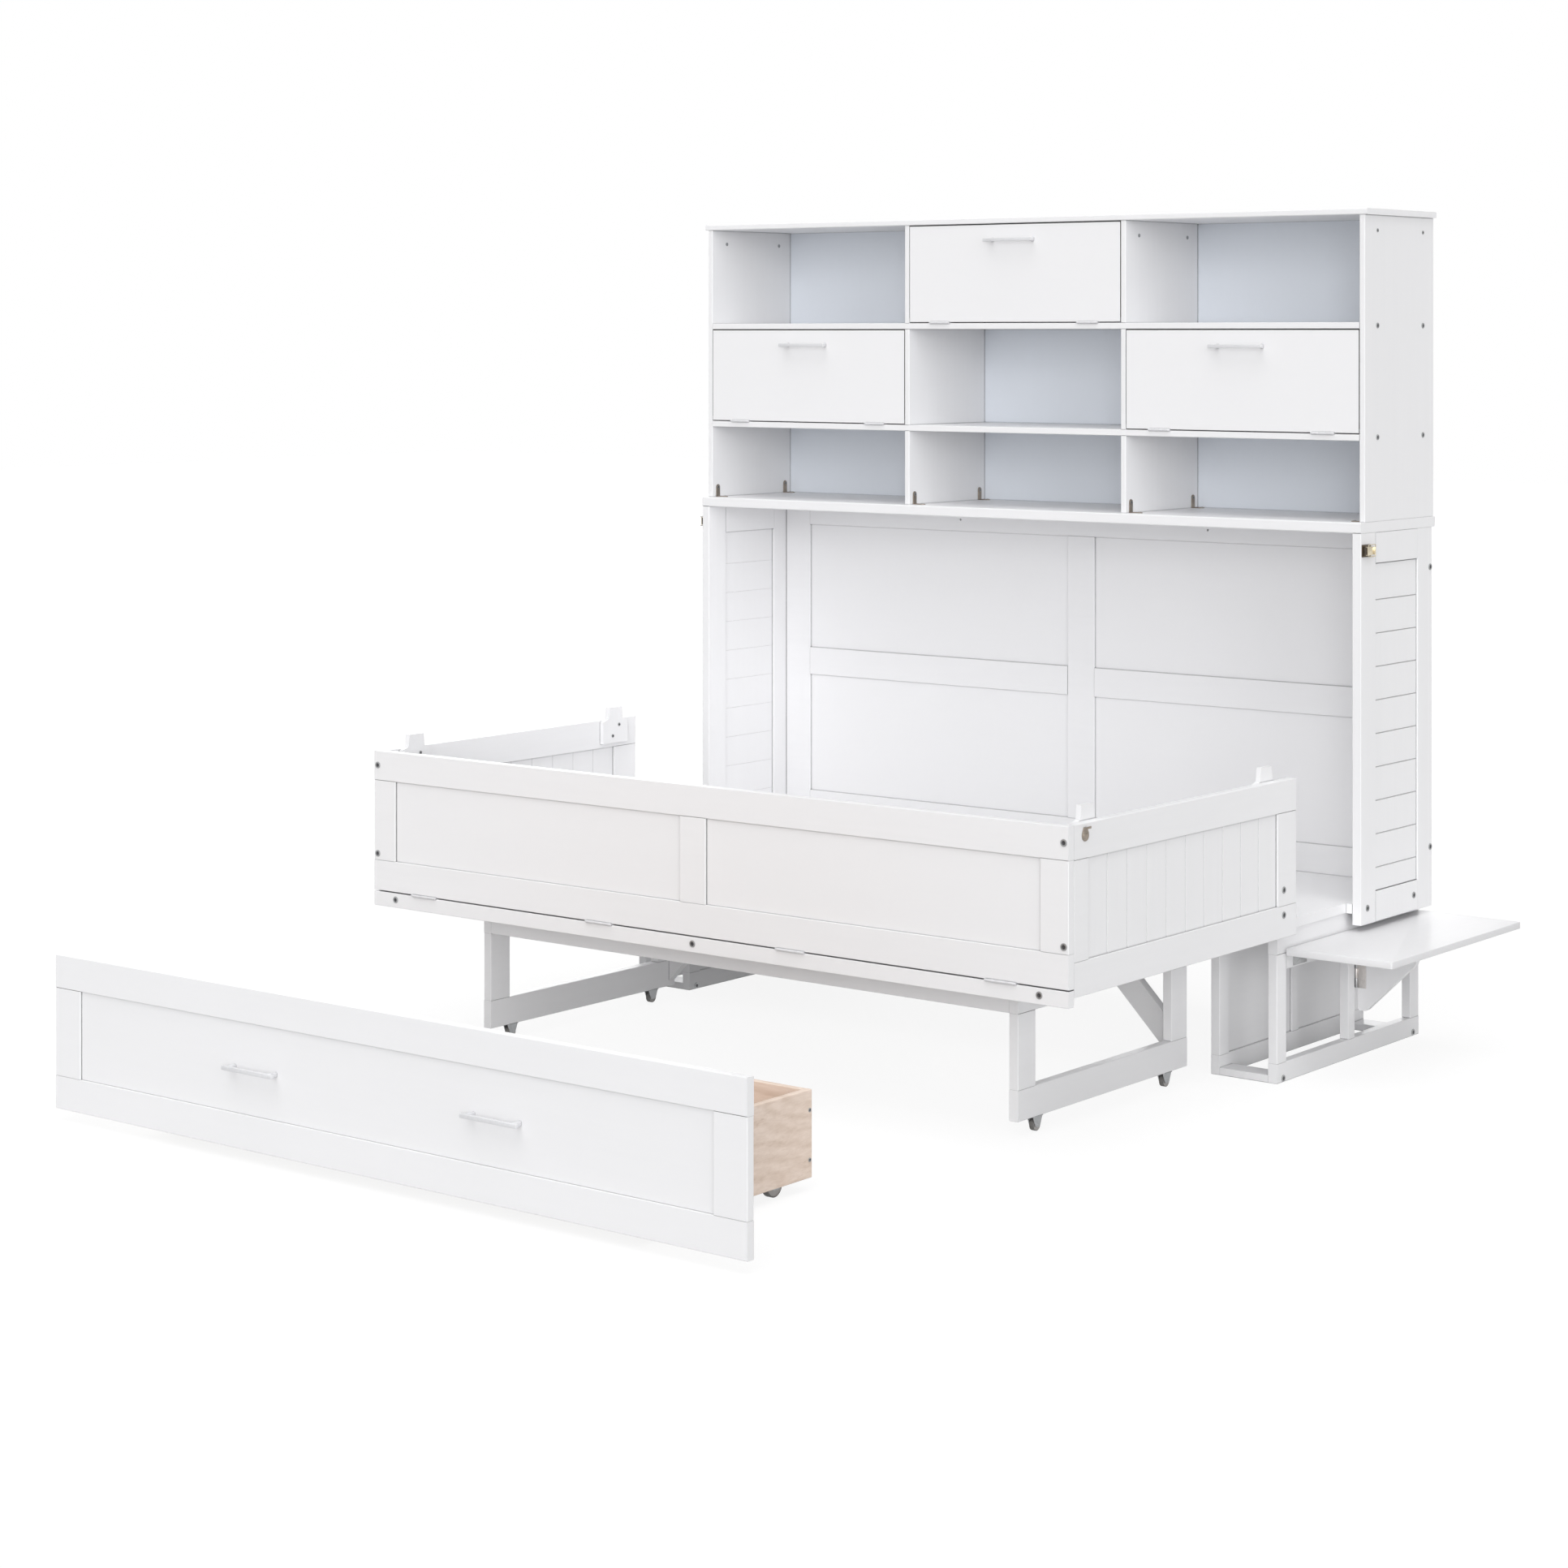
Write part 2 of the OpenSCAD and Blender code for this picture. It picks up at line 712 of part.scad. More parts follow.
module cabinet_side() {
  difference() {
    union() {
      board([in_half, 0, side_z0], [half_w, frame_w, desk_z0 - seam], "z");
      board([in_half, side_d - frame_w, side_z0], [half_w, side_d, desk_z0 - seam], "z");
      y0 = frame_w + seam;
      y1 = side_d - frame_w - seam;
      board([in_half, y0, side_z0], [half_w, y1, side_z0 + frame_w - 2], "y");
      board([in_half, y0, desk_z0 - frame_w], [half_w, y1, desk_z0 - seam], "y");
    }
    at_deck_bolts() bolt_hole(deck_bolt_l);
    at_back_bolts() bolt_hole(back_bolt_l);
  }
}

module cabinet_side_left() {
  color(cool_white) place() mirror([1, 0, 0]) cabinet_side();
}

module cabinet_side_right() {
  color(cool_white) place() cabinet_side();
}

module cabinet_side_boards() {
  z0 = side_z0 + frame_w - 2 + seam;
  z1 = desk_z0 - frame_w - seam;
  count = ceil((z1 - z0) / side_board_w);
  first = z1 - 91;
  x1 = half_w - infill_recess;
  edges = concat([z0], [for (i = [count - 2 : -1 : 0]) first - i * side_board_w], [z1]);
  color(cool_white) place() both_sides()
    for (i = [0 : len(edges) - 2])
      if (edges[i + 1] - edges[i] > 4 * ease)
        plank([x1 - infill_t, frame_w + seam, max(edges[i], z0)],
              [x1, side_d - frame_w - seam, edges[i + 1] - seam], "y");
}

module back_frame() {
  y0 = back_y;
  y1 = side_d;
  inner = back_half - back_stile_w;
  half_mid = back_mid_stile_w / 2;
  top_z0 = back_z1 - back_top_rail_h;
  color(white) place() difference() {
    union() {
      both_sides() {
        board([inner, y0, back_z0], [back_half, y1, back_z1], "z");
        board([half_mid + seam, y0, back_mid_z0],
              [inner - seam, y1, back_mid_z0 + back_mid_rail_h], "x");
      }
      board([-inner + seam, y0, top_z0], [inner - seam, y1, back_z1], "x");
      board([-inner + seam, y0, back_z0], [inner - seam, y1, back_low_z1], "x");
      board([-half_mid, y0, back_low_z1 + seam], [half_mid, y1, top_z0 - seam], "z");
    }
    both_sides() {
      at_back_bolts() bolt_hole(back_bolt_l);
      translate([wall_hole_span / 2, y0 - 1, (top_z0 + back_z1) / 2]) rotate([-90, 0, 0])
        cylinder(r = wall_hole_r, h = back_t + 2);
    }
  }
}

module back_panels() {
  inner = back_half - back_stile_w - seam;
  half_mid = back_mid_stile_w / 2 + seam;
  y0 = back_y + (back_t - back_panel_t) / 2;
  rows = [[back_low_z1 + seam, back_mid_z0 - seam],
          [back_mid_z0 + back_mid_rail_h + seam, back_z1 - back_top_rail_h - seam]];
  color(cool_white) place() both_sides()
    for (r = rows)
      translate([half_mid, y0, r[0]]) cube([inner - half_mid, back_panel_t, r[1] - r[0]]);
}

module desk_board() {
  color(white) place()
    board([-half_w, 0, desk_z0], [half_w, desk_d, desk_top], "x", 2);
}

// Bookcase

module hutch_side() {
  difference() {
    board([hutch_in, hutch_y, desk_top], [hutch_half, hutch_y + hutch_d, top_z - seam], "z");
    at_hutch_screws() bolt_hole(hutch_screw_l, screw_r);
    at_top_screws() bolt_hole(top_screw_l, screw_r);
  }
}

module hutch_side_left() {
  color(cool_white) place() mirror([1, 0, 0]) hutch_side();
}

module hutch_side_right() {
  color(cool_white) place() hutch_side();
}

module hutch_top() {
  w = hutch_half + top_side_over;
  color(white) place()
    board([-w, hutch_y - top_front_over, top_z], [w, hutch_y + hutch_d + 1, top_z + top_t],
          "x", 2);
}

module hutch_shelves() {
  w = hutch_in - seam;
  color(white) place() difference() {
    for (z = [cell_z[1], cell_z[2]])
      board([-w, hutch_y, z - shelf_t], [w, hutch_back_y - seam, z], "x");
    both_sides() at_hutch_screws() bolt_hole(hutch_screw_l, screw_r);
  }
}

module hutch_dividers() {
  color(cool_white) place() both_sides()
    for (i = [0 : 2])
      board([divider_x - hutch_t / 2, hutch_y, cell_z[i] + (i == 0 ? 0 : seam)],
            [divider_x + hutch_t / 2, hutch_back_y - seam, cell_z[i] + cell_h[i] - seam], "z");
}

module hutch_back() {
  w = hutch_in - seam;
  color(back_grey) place()
    translate([-w, hutch_back_y, desk_top]) cube([2 * w, hutch_back_t, top_z - desk_top - seam]);
}

// An angle bracket in the corner x = 0, z = 0, with one leg up and one along +x
module corner_bracket() {
  difference() {
    union() {
      translate([0, -bracket_strip / 2, 0])
        cube([bracket_plate_t, bracket_strip, bracket_leg - bracket_strip / 2]);
      translate([0, 0, bracket_leg - bracket_strip / 2]) rotate([0, 90, 0])
        cylinder(d = bracket_strip, h = bracket_plate_t);
      translate([0, -bracket_strip / 2, 0])
        cube([bracket_leg - bracket_strip / 2, bracket_strip, bracket_plate_t]);
      translate([bracket_leg - bracket_strip / 2, 0, 0])
        cylinder(d = bracket_strip, h = bracket_plate_t);
    }
    translate([-1, 0, bracket_leg - bracket_strip / 2]) rotate([0, 90, 0])
      cylinder(r = screw_r + bolt_play, h = bracket_plate_t + 2);
    translate([bracket_leg - bracket_strip / 2, 0, -1])
      cylinder(r = screw_r + bolt_play, h = bracket_plate_t + 2);
  }
}

module at_corners() {
  for (y = [hutch_y + 24, hutch_back_y - 26]) {
    for (x = [-hutch_in, -divider_x + hutch_t / 2, divider_x + hutch_t / 2])
      translate([x, y, desk_top]) children();
    translate([hutch_in, y, desk_top]) mirror([1, 0, 0]) children();
  }
}

module corner_brackets() {
  color(bronze) place() at_corners() corner_bracket();
}

module cabinet_bolts() {
  color(zinc) place() both_sides() {
    at_deck_bolts() bolt(deck_bolt_l);
    at_back_bolts() bolt(back_bolt_l);
    at_tie_bolts() bolt(tie_bolt_l);
    at_hutch_screws() bolt(hutch_screw_l, screw_head_r, screw_r);
    at_top_screws() bolt(top_screw_l, screw_head_r, screw_r);
  }
  reach = bracket_leg - bracket_strip / 2;
  t = bracket_plate_t;
  color(bronze) place() at_corners() {
    translate([t, 0, reach]) rotate([0, 90, 0]) bolt(t, screw_head_r * 0.8, screw_r);
    translate([reach, 0, t]) bolt(t, screw_head_r * 0.8, screw_r);
  }
}

// Flap doors. cell is the column, -1, 0 or 1, and the row.

module at_flap(cell) {
  translate([cell[0] * cell_step, hutch_y, cell_z[cell[1]]]) children();
}

module flap(cell, h) {
  w = cell_w / 2 - flap_side_gap;
  color(white) place() at_flap(cell)
    board([-w, 0, flap_low_gap], [w, flap_t, flap_low_gap + h], "x");
}

module flap_fittings(cell) {
  color(cool_white) place() at_flap(cell) {
    translate([0, 0, cell_h[cell[1]] - flap_handle_drop]) handle();
    for (s = [-1, 1])
      translate([s * flap_hinge_x, flap_axis_y - hutch_y, flap_low_gap / 2])
        hinge_leaf(flap_hinge_l, hinge_half_gap, flap_t - 3);
  }
}

module flap_top_middle() {
  flap([0, 2], flap_h_top);
}

module flap_mid_left() {
  flap([-1, 1], flap_h_mid);
}

module flap_mid_right() {
  flap([1, 1], flap_h_mid);
}

module flap_fittings_top_middle() {
  flap_fittings([0, 2]);
}

module flap_fittings_mid_left() {
  flap_fittings([-1, 1]);
}

module flap_fittings_mid_right() {
  flap_fittings([1, 1]);
}

module flap_hinge_seats() {
  color(cool_white) place()
    for (cell = [[0, 2], [-1, 1], [1, 1]])
      at_flap(cell)
        for (s = [-1, 1])
          translate([s * flap_hinge_x, flap_axis_y - hutch_y, flap_low_gap / 2])
            hinge_seat(flap_hinge_l, -hinge_half_gap - hinge_t, flap_t - 3);
}

// Pivot of the bed

module bed_pivot_pins() {
  color(zinc) place() both_sides()
    translate([deck_front_half, pivot_y, pivot_z]) rotate([0, 90, 0]) {
      translate([0, 0, -pin_depth]) cylinder(r = pivot_r, h = pin_depth + deck_notch - 0.2);
      cylinder(r = collar_r, h = deck_notch - plate_t - seam);
    }
}

module pivot_plates() {
  y0 = pivot_y - plate_w + 20;
  z0 = pivot_z - guard_low;
  color(zinc) place() both_sides() difference() {
    translate([in_half - plate_t, y0, z0]) cube([plate_t, plate_w, plate_h]);
    translate([in_half - plate_t - 1, pivot_y, pivot_z]) rotate([0, 90, 0])
      cylinder(r = pivot_r + pin_play, h = plate_t + 2);
    at_plate_bolts() bolt_hole(plate_bolt_l);
  }
}

// Bed box

module bed_front_frame() {
  stile_in = half_w - front_stile_w;
  z0 = front_z0 + front_low_h + seam;
  z1 = bed_top - front_top_h - seam;
  y1 = bed_front;
  color(white) place() difference() {
    union() {
      board([-half_w, front_y, front_z0], [half_w, y1, front_z0 + front_low_h], "x");
      board([-half_w, front_y, bed_top - front_top_h], [half_w, y1, bed_top], "x");
      board([-front_mid_w / 2, front_y, z0], [front_mid_w / 2, y1, z1], "z");
      both_sides() board([stile_in, front_y, z0], [half_w, y1, z1], "z");
    }
    both_sides() at_front_bolts() bolt_hole(front_bolt_l);
  }
}

module bed_front_panels() {
  x0 = front_mid_w / 2 + seam;
  x1 = half_w - front_stile_w - seam;
  z0 = front_z0 + front_low_h + seam;
  z1 = bed_top - front_top_h - seam;
  color(white) place() both_sides()
    translate([x0, front_y + infill_recess, z0]) cube([x1 - x0, front_panel_t, z1 - z0]);
}

module bed_side() {
  y0 = bed_front + seam;
  low_z1 = bed_z0 + frame_w;
  top_z0 = bed_top - frame_w;
  difference() {
    union() {
      board([in_half, y0, bed_z0], [half_w, bed_back, low_z1], "y");
      board([in_half, y0, top_z0], [half_w, bed_back, bed_top], "y");
      board([in_half, y0, low_z1 + seam], [half_w, guard_fill_y0, top_z0 - seam], "z");
      board([in_half, guard_fill_y1, low_z1 + seam], [half_w, bed_back, top_z0 - seam], "z");
    }
    at_front_bolts() bolt_hole(front_bolt_l);
    at_plate_bolts() bolt_hole(plate_bolt_l);
  }
}

module bed_side_left() {
  color(cool_white) place() mirror([1, 0, 0]) bed_side();
}

module bed_side_right() {
  color(cool_white) place() bed_side();
}

module bed_side_boards() {
  pitch = (guard_fill_y1 - guard_fill_y0) / guard_boards;
  x1 = half_w - infill_recess;
  color(cool_white) place() both_sides()
    for (i = [0 : guard_boards - 1])
      plank([x1 - infill_t, guard_fill_y0 + i * pitch + seam, bed_z0 + frame_w + seam],
            [x1, guard_fill_y0 + (i + 1) * pitch - seam, bed_top - frame_w - seam], "z");
}

// A tongue plate on the inner face of a bed side
module tongue(y) {
  w = tongue_w / 2;
  t = tongue_tip_w / 2;
  shoulder = tongue_low - 4;
  translate([tongue_x - tongue_t, y, bed_top - tongue_low]) rotate([90, 0, 90])
    linear_extrude(tongue_t)
      polygon([[-w, 0], [w, 0], [w, shoulder], [t + 4, shoulder + 6],
               [t, tongue_low + tongue_rise], [-t, tongue_low + tongue_rise],
               [-t - 4, shoulder + 6], [-w, shoulder]]);
}

module bed_tongues() {
  color(white) place() both_sides() difference() {
    for (y = [tongue_front_y, tongue_rear_y]) tongue(y);
    at_tongue_screws() bolt_hole(tongue_screw_l, screw_r);
  }
}

module bed_bolts() {
  color(zinc) place() {
    both_sides() {
      at_front_bolts() bolt(front_bolt_l);
      at_plate_bolts() bolt(plate_bolt_l);
      at_tongue_screws() bolt(tongue_screw_l, screw_head_r, screw_r);
    }
    at_rail_bolts() bolt(rail_bolt_l);
  }
}

// A catch for the latch loop: a drop-shaped plate, and a nose that the loop hooks over
module latch_keepers() {
  t = 2;
  r = 13;
  w = keeper_w / 2;
  color(bronze) place() both_sides()
    translate([half_w, keeper_y, keeper_z]) {
      translate([0, 0, -keeper_plate_h + r]) rotate([0, 90, 0]) cylinder(r = r, h = t);
      rotate([90, 0, 90]) linear_extrude(t)
        polygon([[-w, 0], [-r * 0.97, -keeper_plate_h + r + 3], [r * 0.97, -keeper_plate_h + r + 3],
                 [w, 0]]);
      for (s = [-1, 1])
        translate([t - eps, s * 6, -keeper_plate_h + r]) rotate([0, 90, 0])
          cylinder(r = screw_head_r * 0.8, h = 1 + eps);
      translate([0, -w, -t]) cube([keeper_h, 2 * w, t]);
      translate([keeper_h - t, -w, -t]) cube([t, 2 * w, t + 3]);
    }
}

// Platform

module platform_rail() {
  color(white) place() difference() {
    board([-half_w, front_y, rail_z0], [half_w, bed_front, rail_z0 + rail_h], "x");
    at_rail_bolts() bolt_hole(rail_bolt_l);
  }
}

module platform_joists() {
  color(white) place() difference() {
    for (x = [-joist_x, 0, joist_x])
      board([x - joist_w / 2, bed_front + seam, joist_z0],
            [x + joist_w / 2, platform_back, joist_z1], "y");
    at_rail_bolts() bolt_hole(rail_bolt_l);
  }
}

module bed_slats() {
  half_l = in_half - slat_end_gap;
  y0 = bed_front + 12;
  step = (platform_back - 2 - slat_w - y0) / (slat_count - 1);
  color(white) place()
    for (i = [0 : slat_count - 1])
      board([-half_l, y0 + i * step, joist_z1], [half_l, y0 + i * step + slat_w, joist_z1 + slat_t],
            "x");
}

module platform_hinges() {
  plate_w = front_t - 5;
  color(cool_white) place() both_sides()
    for (x = [plat_hinge_in, plat_hinge_out])
      translate([x, front_y - knuckle_r - 0.2, joist_z1 + rail_gap / 2]) {
        hinge_seat(plat_hinge_l, -rail_gap / 2, plate_w);
        hinge_leaf(plat_hinge_l, rail_gap / 2 - hinge_t, plate_w);
      }
}

// Cart

module cart_frames() {
  color(cool_white) place() both_sides() {
    board([cart_in, cart_y0, caster_h], [cart_half, cart_y1, caster_h + cart_board_w], "y");
    board([cart_in, cart_y0, cart_top - cart_board_w], [cart_half, cart_y1, cart_top], "y");
    for (y = [cart_y0, cart_y1 - cart_board_w])
      board([cart_in, y, caster_h + cart_board_w + seam],
            [cart_half, y + cart_board_w, cart_top - cart_board_w - seam], "z");
  }
}

module cart_brace() {
  z0 = caster_h + brace_foot;
  z1 = cart_top - cart_board_w - seam;
  x1 = cart_in - seam;
  run = z1 - z0;
  w = brace_w * sqrt(2);
  translate([0, cart_y1, 0]) rotate([90, 0, 0]) linear_extrude(stock_t)
    polygon([[x1, z0], [x1, z0 + w], [x1 - run + w, z1], [x1 - run, z1]]);
}

module cart_beams() {
  x1 = cart_in - seam;
  color(cool_white) place() {
    for (y = [cart_y0, cart_y1 - stock_t])
      board([-x1, y, cart_top - cart_board_w], [x1, y + stock_t, cart_top], "x");
    both_sides() cart_brace();
  }
}

// A fixed caster fork with its axle, hanging from z = top
module caster_fork(top, axle_z, w, r) {
  cheek = w / 2 + 1;
  axle_r = r * 0.18;
  plate = w + 2 * fork_side;
  for (s = [0, 1]) mirror([s, 0, 0])
    translate([cheek, 0, 0]) rotate([90, 0, 90]) linear_extrude(fork_t)
      polygon([[-r, top - eps], [r, top - eps], [r * 0.45, axle_z - r * 0.35],
               [-r * 0.45, axle_z - r * 0.35]]);
  translate([-plate / 2, -r - 5, top - fork_t]) cube([plate, 2 * r + 10, fork_t]);
  translate([0, 0, axle_z]) rotate([0, 90, 0])
    cylinder(r = axle_r, h = w + 2 + 2 * fork_t + 1, center = true);
}

module roller(w, r) {
  rotate([0, 90, 0]) rotate_extrude()
    polygon([[r * 0.18 + pin_play, -w / 2], [r - 1, -w / 2], [r, -w / 2 + 1],
             [r, w / 2 - 1], [r - 1, w / 2], [r * 0.18 + pin_play, w / 2]]);
}

module cart_caster_forks() {
  color(caster_grey) place() both_sides()
    for (y = [cart_mid - caster_y, cart_mid + caster_y])
      translate([cart_x, y, 0]) caster_fork(caster_h, caster_r, caster_w, caster_r);
}

module cart_wheels(y) {
  color(tyre_grey) place() both_sides()
    translate([cart_x, y, caster_r]) roller(caster_w, caster_r);
}

module cart_wheels_front() {
  cart_wheels(cart_mid - caster_y);
}

module cart_wheels_rear() {
  cart_wheels(cart_mid + caster_y);
}

// Drawer

module drawer_front_frame() {
  w = drawer_half;
  z0 = drawer_lift + drawer_rail_w + seam;
  z1 = drawer_top - drawer_rail_w - seam;
  color(white) place() {
    board([-w, drawer_y0, drawer_lift], [w, drawer_y1, drawer_lift + drawer_rail_w], "x");
    board([-w, drawer_y0, drawer_top - drawer_rail_w], [w, drawer_y1, drawer_top], "x");
    both_sides() board([w - drawer_stile_w, drawer_y0, z0], [w, drawer_y1, z1], "z");
  }
}

module drawer_front_panel() {
  w = drawer_half - drawer_stile_w - seam;
  z0 = drawer_lift + drawer_rail_w + seam;
  z1 = drawer_top - drawer_rail_w - seam;
  color(white) place()
    translate([-w, drawer_y0 + infill_recess, z0]) cube([2 * w, drawer_panel_t, z1 - z0]);
}

module drawer_box() {
  y0 = drawer_y1 + seam;
  in = box_half - box_t;
  z1 = drawer_lift + box_h;
  color(pine) place() {
    difference() {
      union() {
        both_sides() board([in, y0, drawer_lift], [box_half, box_y1, z1], "y");
        for (y = [y0, box_y1 - box_t])
          board([-in + seam, y, drawer_lift], [in - seam, y + box_t, z1], "x");
      }
      both_sides() at_box_screws() bolt_hole(box_screw_l, screw_r);
    }
    translate([-in + seam, y0 + box_t + seam, box_bottom_z])
      cube([2 * (in - seam), box_y1 - y0 - 2 * box_t - 2 * seam, box_bottom_t]);
  }
}

module drawer_handles() {
  color(cool_white) place() both_sides()
    translate([drawer_handle_x, drawer_y0 + infill_recess, (drawer_lift + drawer_top) / 2])
      handle();
}

module drawer_fittings() {
  color(zinc) place() both_sides() {
    for (y = [wheel_front_y, wheel_rear_y])
      translate([wheel_x, y, 0]) caster_fork(box_bottom_z - seam, wheel_r, wheel_w, wheel_r);
    at_box_screws() bolt(box_screw_l, screw_head_r, screw_r);
  }
}

module drawer_wheels(y) {
  color(tyre_grey) place() both_sides()
    translate([wheel_x, y, wheel_r]) roller(wheel_w, wheel_r);
}

module drawer_wheels_front() {
  drawer_wheels(wheel_front_y);
}

module drawer_wheels_rear() {
  drawer_wheels(wheel_rear_y);
}

// Side table

module table_leaf() {
  color(white) place()
    board([leaf_x0, -leaf_front, leaf_z0], [leaf_x1, leaf_l - leaf_front, leaf_z1], "y", 2);
}

module table_leaf_hinges() {
  color(zinc) place()
    for (y = leaf_hinge_y)
      translate([leaf_axis_x, y, leaf_axis_z]) rotate([0, 0, -90])
        hinge_leaf(leaf_hinge_l, knuckle_r - hinge_t, 25);
}

module table_bracket() {
  x1 = bracket_reach;
  foot = bracket_foot;
  nose = bracket_h - bracket_nose;
  color(cool_white) place()
    translate([bracket_x0, bracket_y0 + bracket_t, bracket_z1 - bracket_h]) rotate([90, 0, 0])
      linear_extrude(bracket_t)
        polygon([[0, 4], [4, 0], [foot - 4, 0], [foot + 2, 3], [x1 - 3, nose - 4],
                 [x1, nose + 4], [x1, bracket_h], [0, bracket_h]]);
}

module table_bracket_hinge() {
  color(zinc) place()
    translate([bracket_axis_x, bracket_axis_y, bracket_mid_z]) rotate([0, -90, 0])
      rotate([-90, 0, 0]) hinge_leaf(bracket_hinge_l, knuckle_r - hinge_t, 22);
}

module table_hinge_seats() {
  color(zinc) place() {
    for (y = leaf_hinge_y)
      translate([leaf_axis_x, y, leaf_axis_z]) rotate([0, 0, -90]) rotate([-90, 0, 0])
        hinge_seat(leaf_hinge_l, -knuckle_r - 0.2, leaf_seat_l);
    translate([bracket_axis_x, bracket_axis_y, bracket_mid_z]) rotate([0, -90, 0])
      rotate([90, 0, 0]) hinge_seat(bracket_hinge_l, 1, 20);
  }
}

// Latches. The right one; the left one is its mirror image.

module latch_base() {
  t = 2;
  ear = 1.5;
  h = latch_h / 2;
  ear_z = h - 2 - ear;
  translate([half_w, latch_y, latch_z - h]) cube([t, latch_l, latch_h]);
  for (s = [-1, 1])
    translate([half_w, latch_y + 2, latch_z + s * (ear_z + ear / 2) - ear / 2])
      cube([lever_pin_x + 3, lever_pin_y + 1.5, ear]);
  translate([half_w + lever_pin_x, pin_y, latch_z]) cylinder(r = hinge_pin_r, h = 2 * ear_z + ear,
                                                              center = true);
}

module latch_bases() {
  color(bronze) place() both_sides() latch_base();
}

module latch_lever() {
  t = 1.5;
  h = latch_h / 2 - 4.2;
  reach = latch_l - lever_pin_y - 4;
  translate([half_w + lever_pin_x, pin_y, latch_z]) difference() {
    union() {
      translate([3, -3, -h]) cube([t, reach + 3, 2 * h]);
      for (s = [0, 1]) mirror([0, 0, s]) {
        translate([-3, -3, h - t]) cube([7, reach * 0.7 + 3, t]);
      }
      translate([3, reach - 1, -h]) cube([5, t, 2 * h]);
    }
    cylinder(r = hinge_pin_r + pin_play, h = 4 * h, center = true);
    translate([0, loop_pin_y, 0]) cylinder(r = wire_r + pin_play, h = 4 * h, center = true);
  }
}

module latch_lever_right() {
  color(bronze) place() latch_lever();
}

module latch_lever_left() {
  color(bronze) place() mirror([1, 0, 0]) latch_lever();
}

// The loop lies back round the lever. It has a pin through the lever, two arms and a bar.
module latch_loop() {
  arm_z = latch_h / 2 - 2 + wire_r + 0.4;
  translate([half_w + lever_pin_x, loop_y, latch_z]) {
    cylinder(r = wire_r, h = 2 * arm_z, center = true);
    translate([0, loop_l, 0]) cylinder(r = wire_r, h = 2 * arm_z, center = true);
    for (s = [-1, 1]) translate([0, 0, s * arm_z]) {
      rotate([-90, 0, 0]) cylinder(r = wire_r, h = loop_l);
      sphere(r = wire_r);
      translate([0, loop_l, 0]) sphere(r = wire_r);
    }
  }
}

module latch_loop_right() {
  color(bronze) place() latch_loop();
}

module latch_loop_left() {
  color(bronze) place() mirror([1, 0, 0]) latch_loop();
}

pedestal_left();
pedestal_right();
base_deck();
cabinet_side_left();
cabinet_side_right();
cabinet_side_boards();
back_frame();
back_panels();
desk_board();
hutch_side_left();
hutch_side_right();
hutch_top();
hutch_shelves();
hutch_dividers();
hutch_back();
corner_brackets();
cabinet_bolts();
flap_hinge_seats();
bed_pivot_pins();
latch_bases();
table_hinge_seats();
flap_top_middle();
flap_mid_left();
flap_mid_right();
flap_fittings_top_middle();
flap_fittings_mid_left();
flap_fittings_mid_right();
bed_front_frame();
bed_front_panels();
bed_side_left();
bed_side_right();
bed_side_boards();
platform_rail();
platform_joists();
bed_slats();
bed_tongues();
latch_keepers();
pivot_plates();
platform_hinges();
bed_bolts();
cart_frames();
cart_beams();
cart_caster_forks();
cart_wheels_front();
cart_wheels_rear();
drawer_front_frame();
drawer_front_panel();
drawer_box();
drawer_handles();
drawer_fittings();
drawer_wheels_front();
drawer_wheels_rear();
table_leaf();
table_leaf_hinges();
table_bracket();
table_bracket_hinge();
latch_lever_left();
latch_lever_right();
latch_loop_left();
latch_loop_right();
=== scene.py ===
import math

import bmesh
import bpy
from bpy.props import FloatProperty, FloatVectorProperty, IntProperty, PointerProperty
from mathutils import Matrix, Vector


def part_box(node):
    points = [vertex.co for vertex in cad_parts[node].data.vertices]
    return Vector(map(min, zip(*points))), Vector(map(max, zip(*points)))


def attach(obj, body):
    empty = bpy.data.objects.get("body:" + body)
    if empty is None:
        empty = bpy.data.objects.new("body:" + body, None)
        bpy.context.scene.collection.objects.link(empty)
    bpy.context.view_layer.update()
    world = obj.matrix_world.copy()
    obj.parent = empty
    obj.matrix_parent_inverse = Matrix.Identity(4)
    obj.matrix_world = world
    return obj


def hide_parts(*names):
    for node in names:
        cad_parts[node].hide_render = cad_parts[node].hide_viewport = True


bl_info = {
    "name": "Wall Bed",
    "version": (1, 0, 0),
    "blender": (4, 5, 0),
    "location": "3D View > Sidebar > Wall Bed",
    "description": "Finishes, hardware and studio for a folding wall bed with a bookcase",
    "category": "Object",
}

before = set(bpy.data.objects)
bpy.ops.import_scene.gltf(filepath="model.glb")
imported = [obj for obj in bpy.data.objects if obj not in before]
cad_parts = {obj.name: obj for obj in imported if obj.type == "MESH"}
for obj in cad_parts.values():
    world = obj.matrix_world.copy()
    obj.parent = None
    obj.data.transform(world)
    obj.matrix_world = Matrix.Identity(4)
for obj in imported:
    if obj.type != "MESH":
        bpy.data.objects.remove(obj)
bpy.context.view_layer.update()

X, Y, Z = range(3)
# The two axes that lie across each axis
ACROSS = ((Y, Z), (X, Z), (X, Y))
# Two levels closer than this are one, in metres
SAME_LEVEL = 1e-5
# Points closer than this are merged, in metres
MERGE = 1e-6
# A face whose normal has more than this along an axis looks along that axis
SQUARE_ON = 0.9
# An edge that covers more than this along an axis runs along that axis, in metres
EDGE_RUN = 0.001
# Edges flatter than this are shaded smooth
SMOOTH_ANGLE = math.radians(42.0)


# ---- settings


def tint(name, description, value):
    return FloatVectorProperty(
        name=name, description=description, subtype="COLOR", size=3, min=0.0, max=1.0, default=value
    )


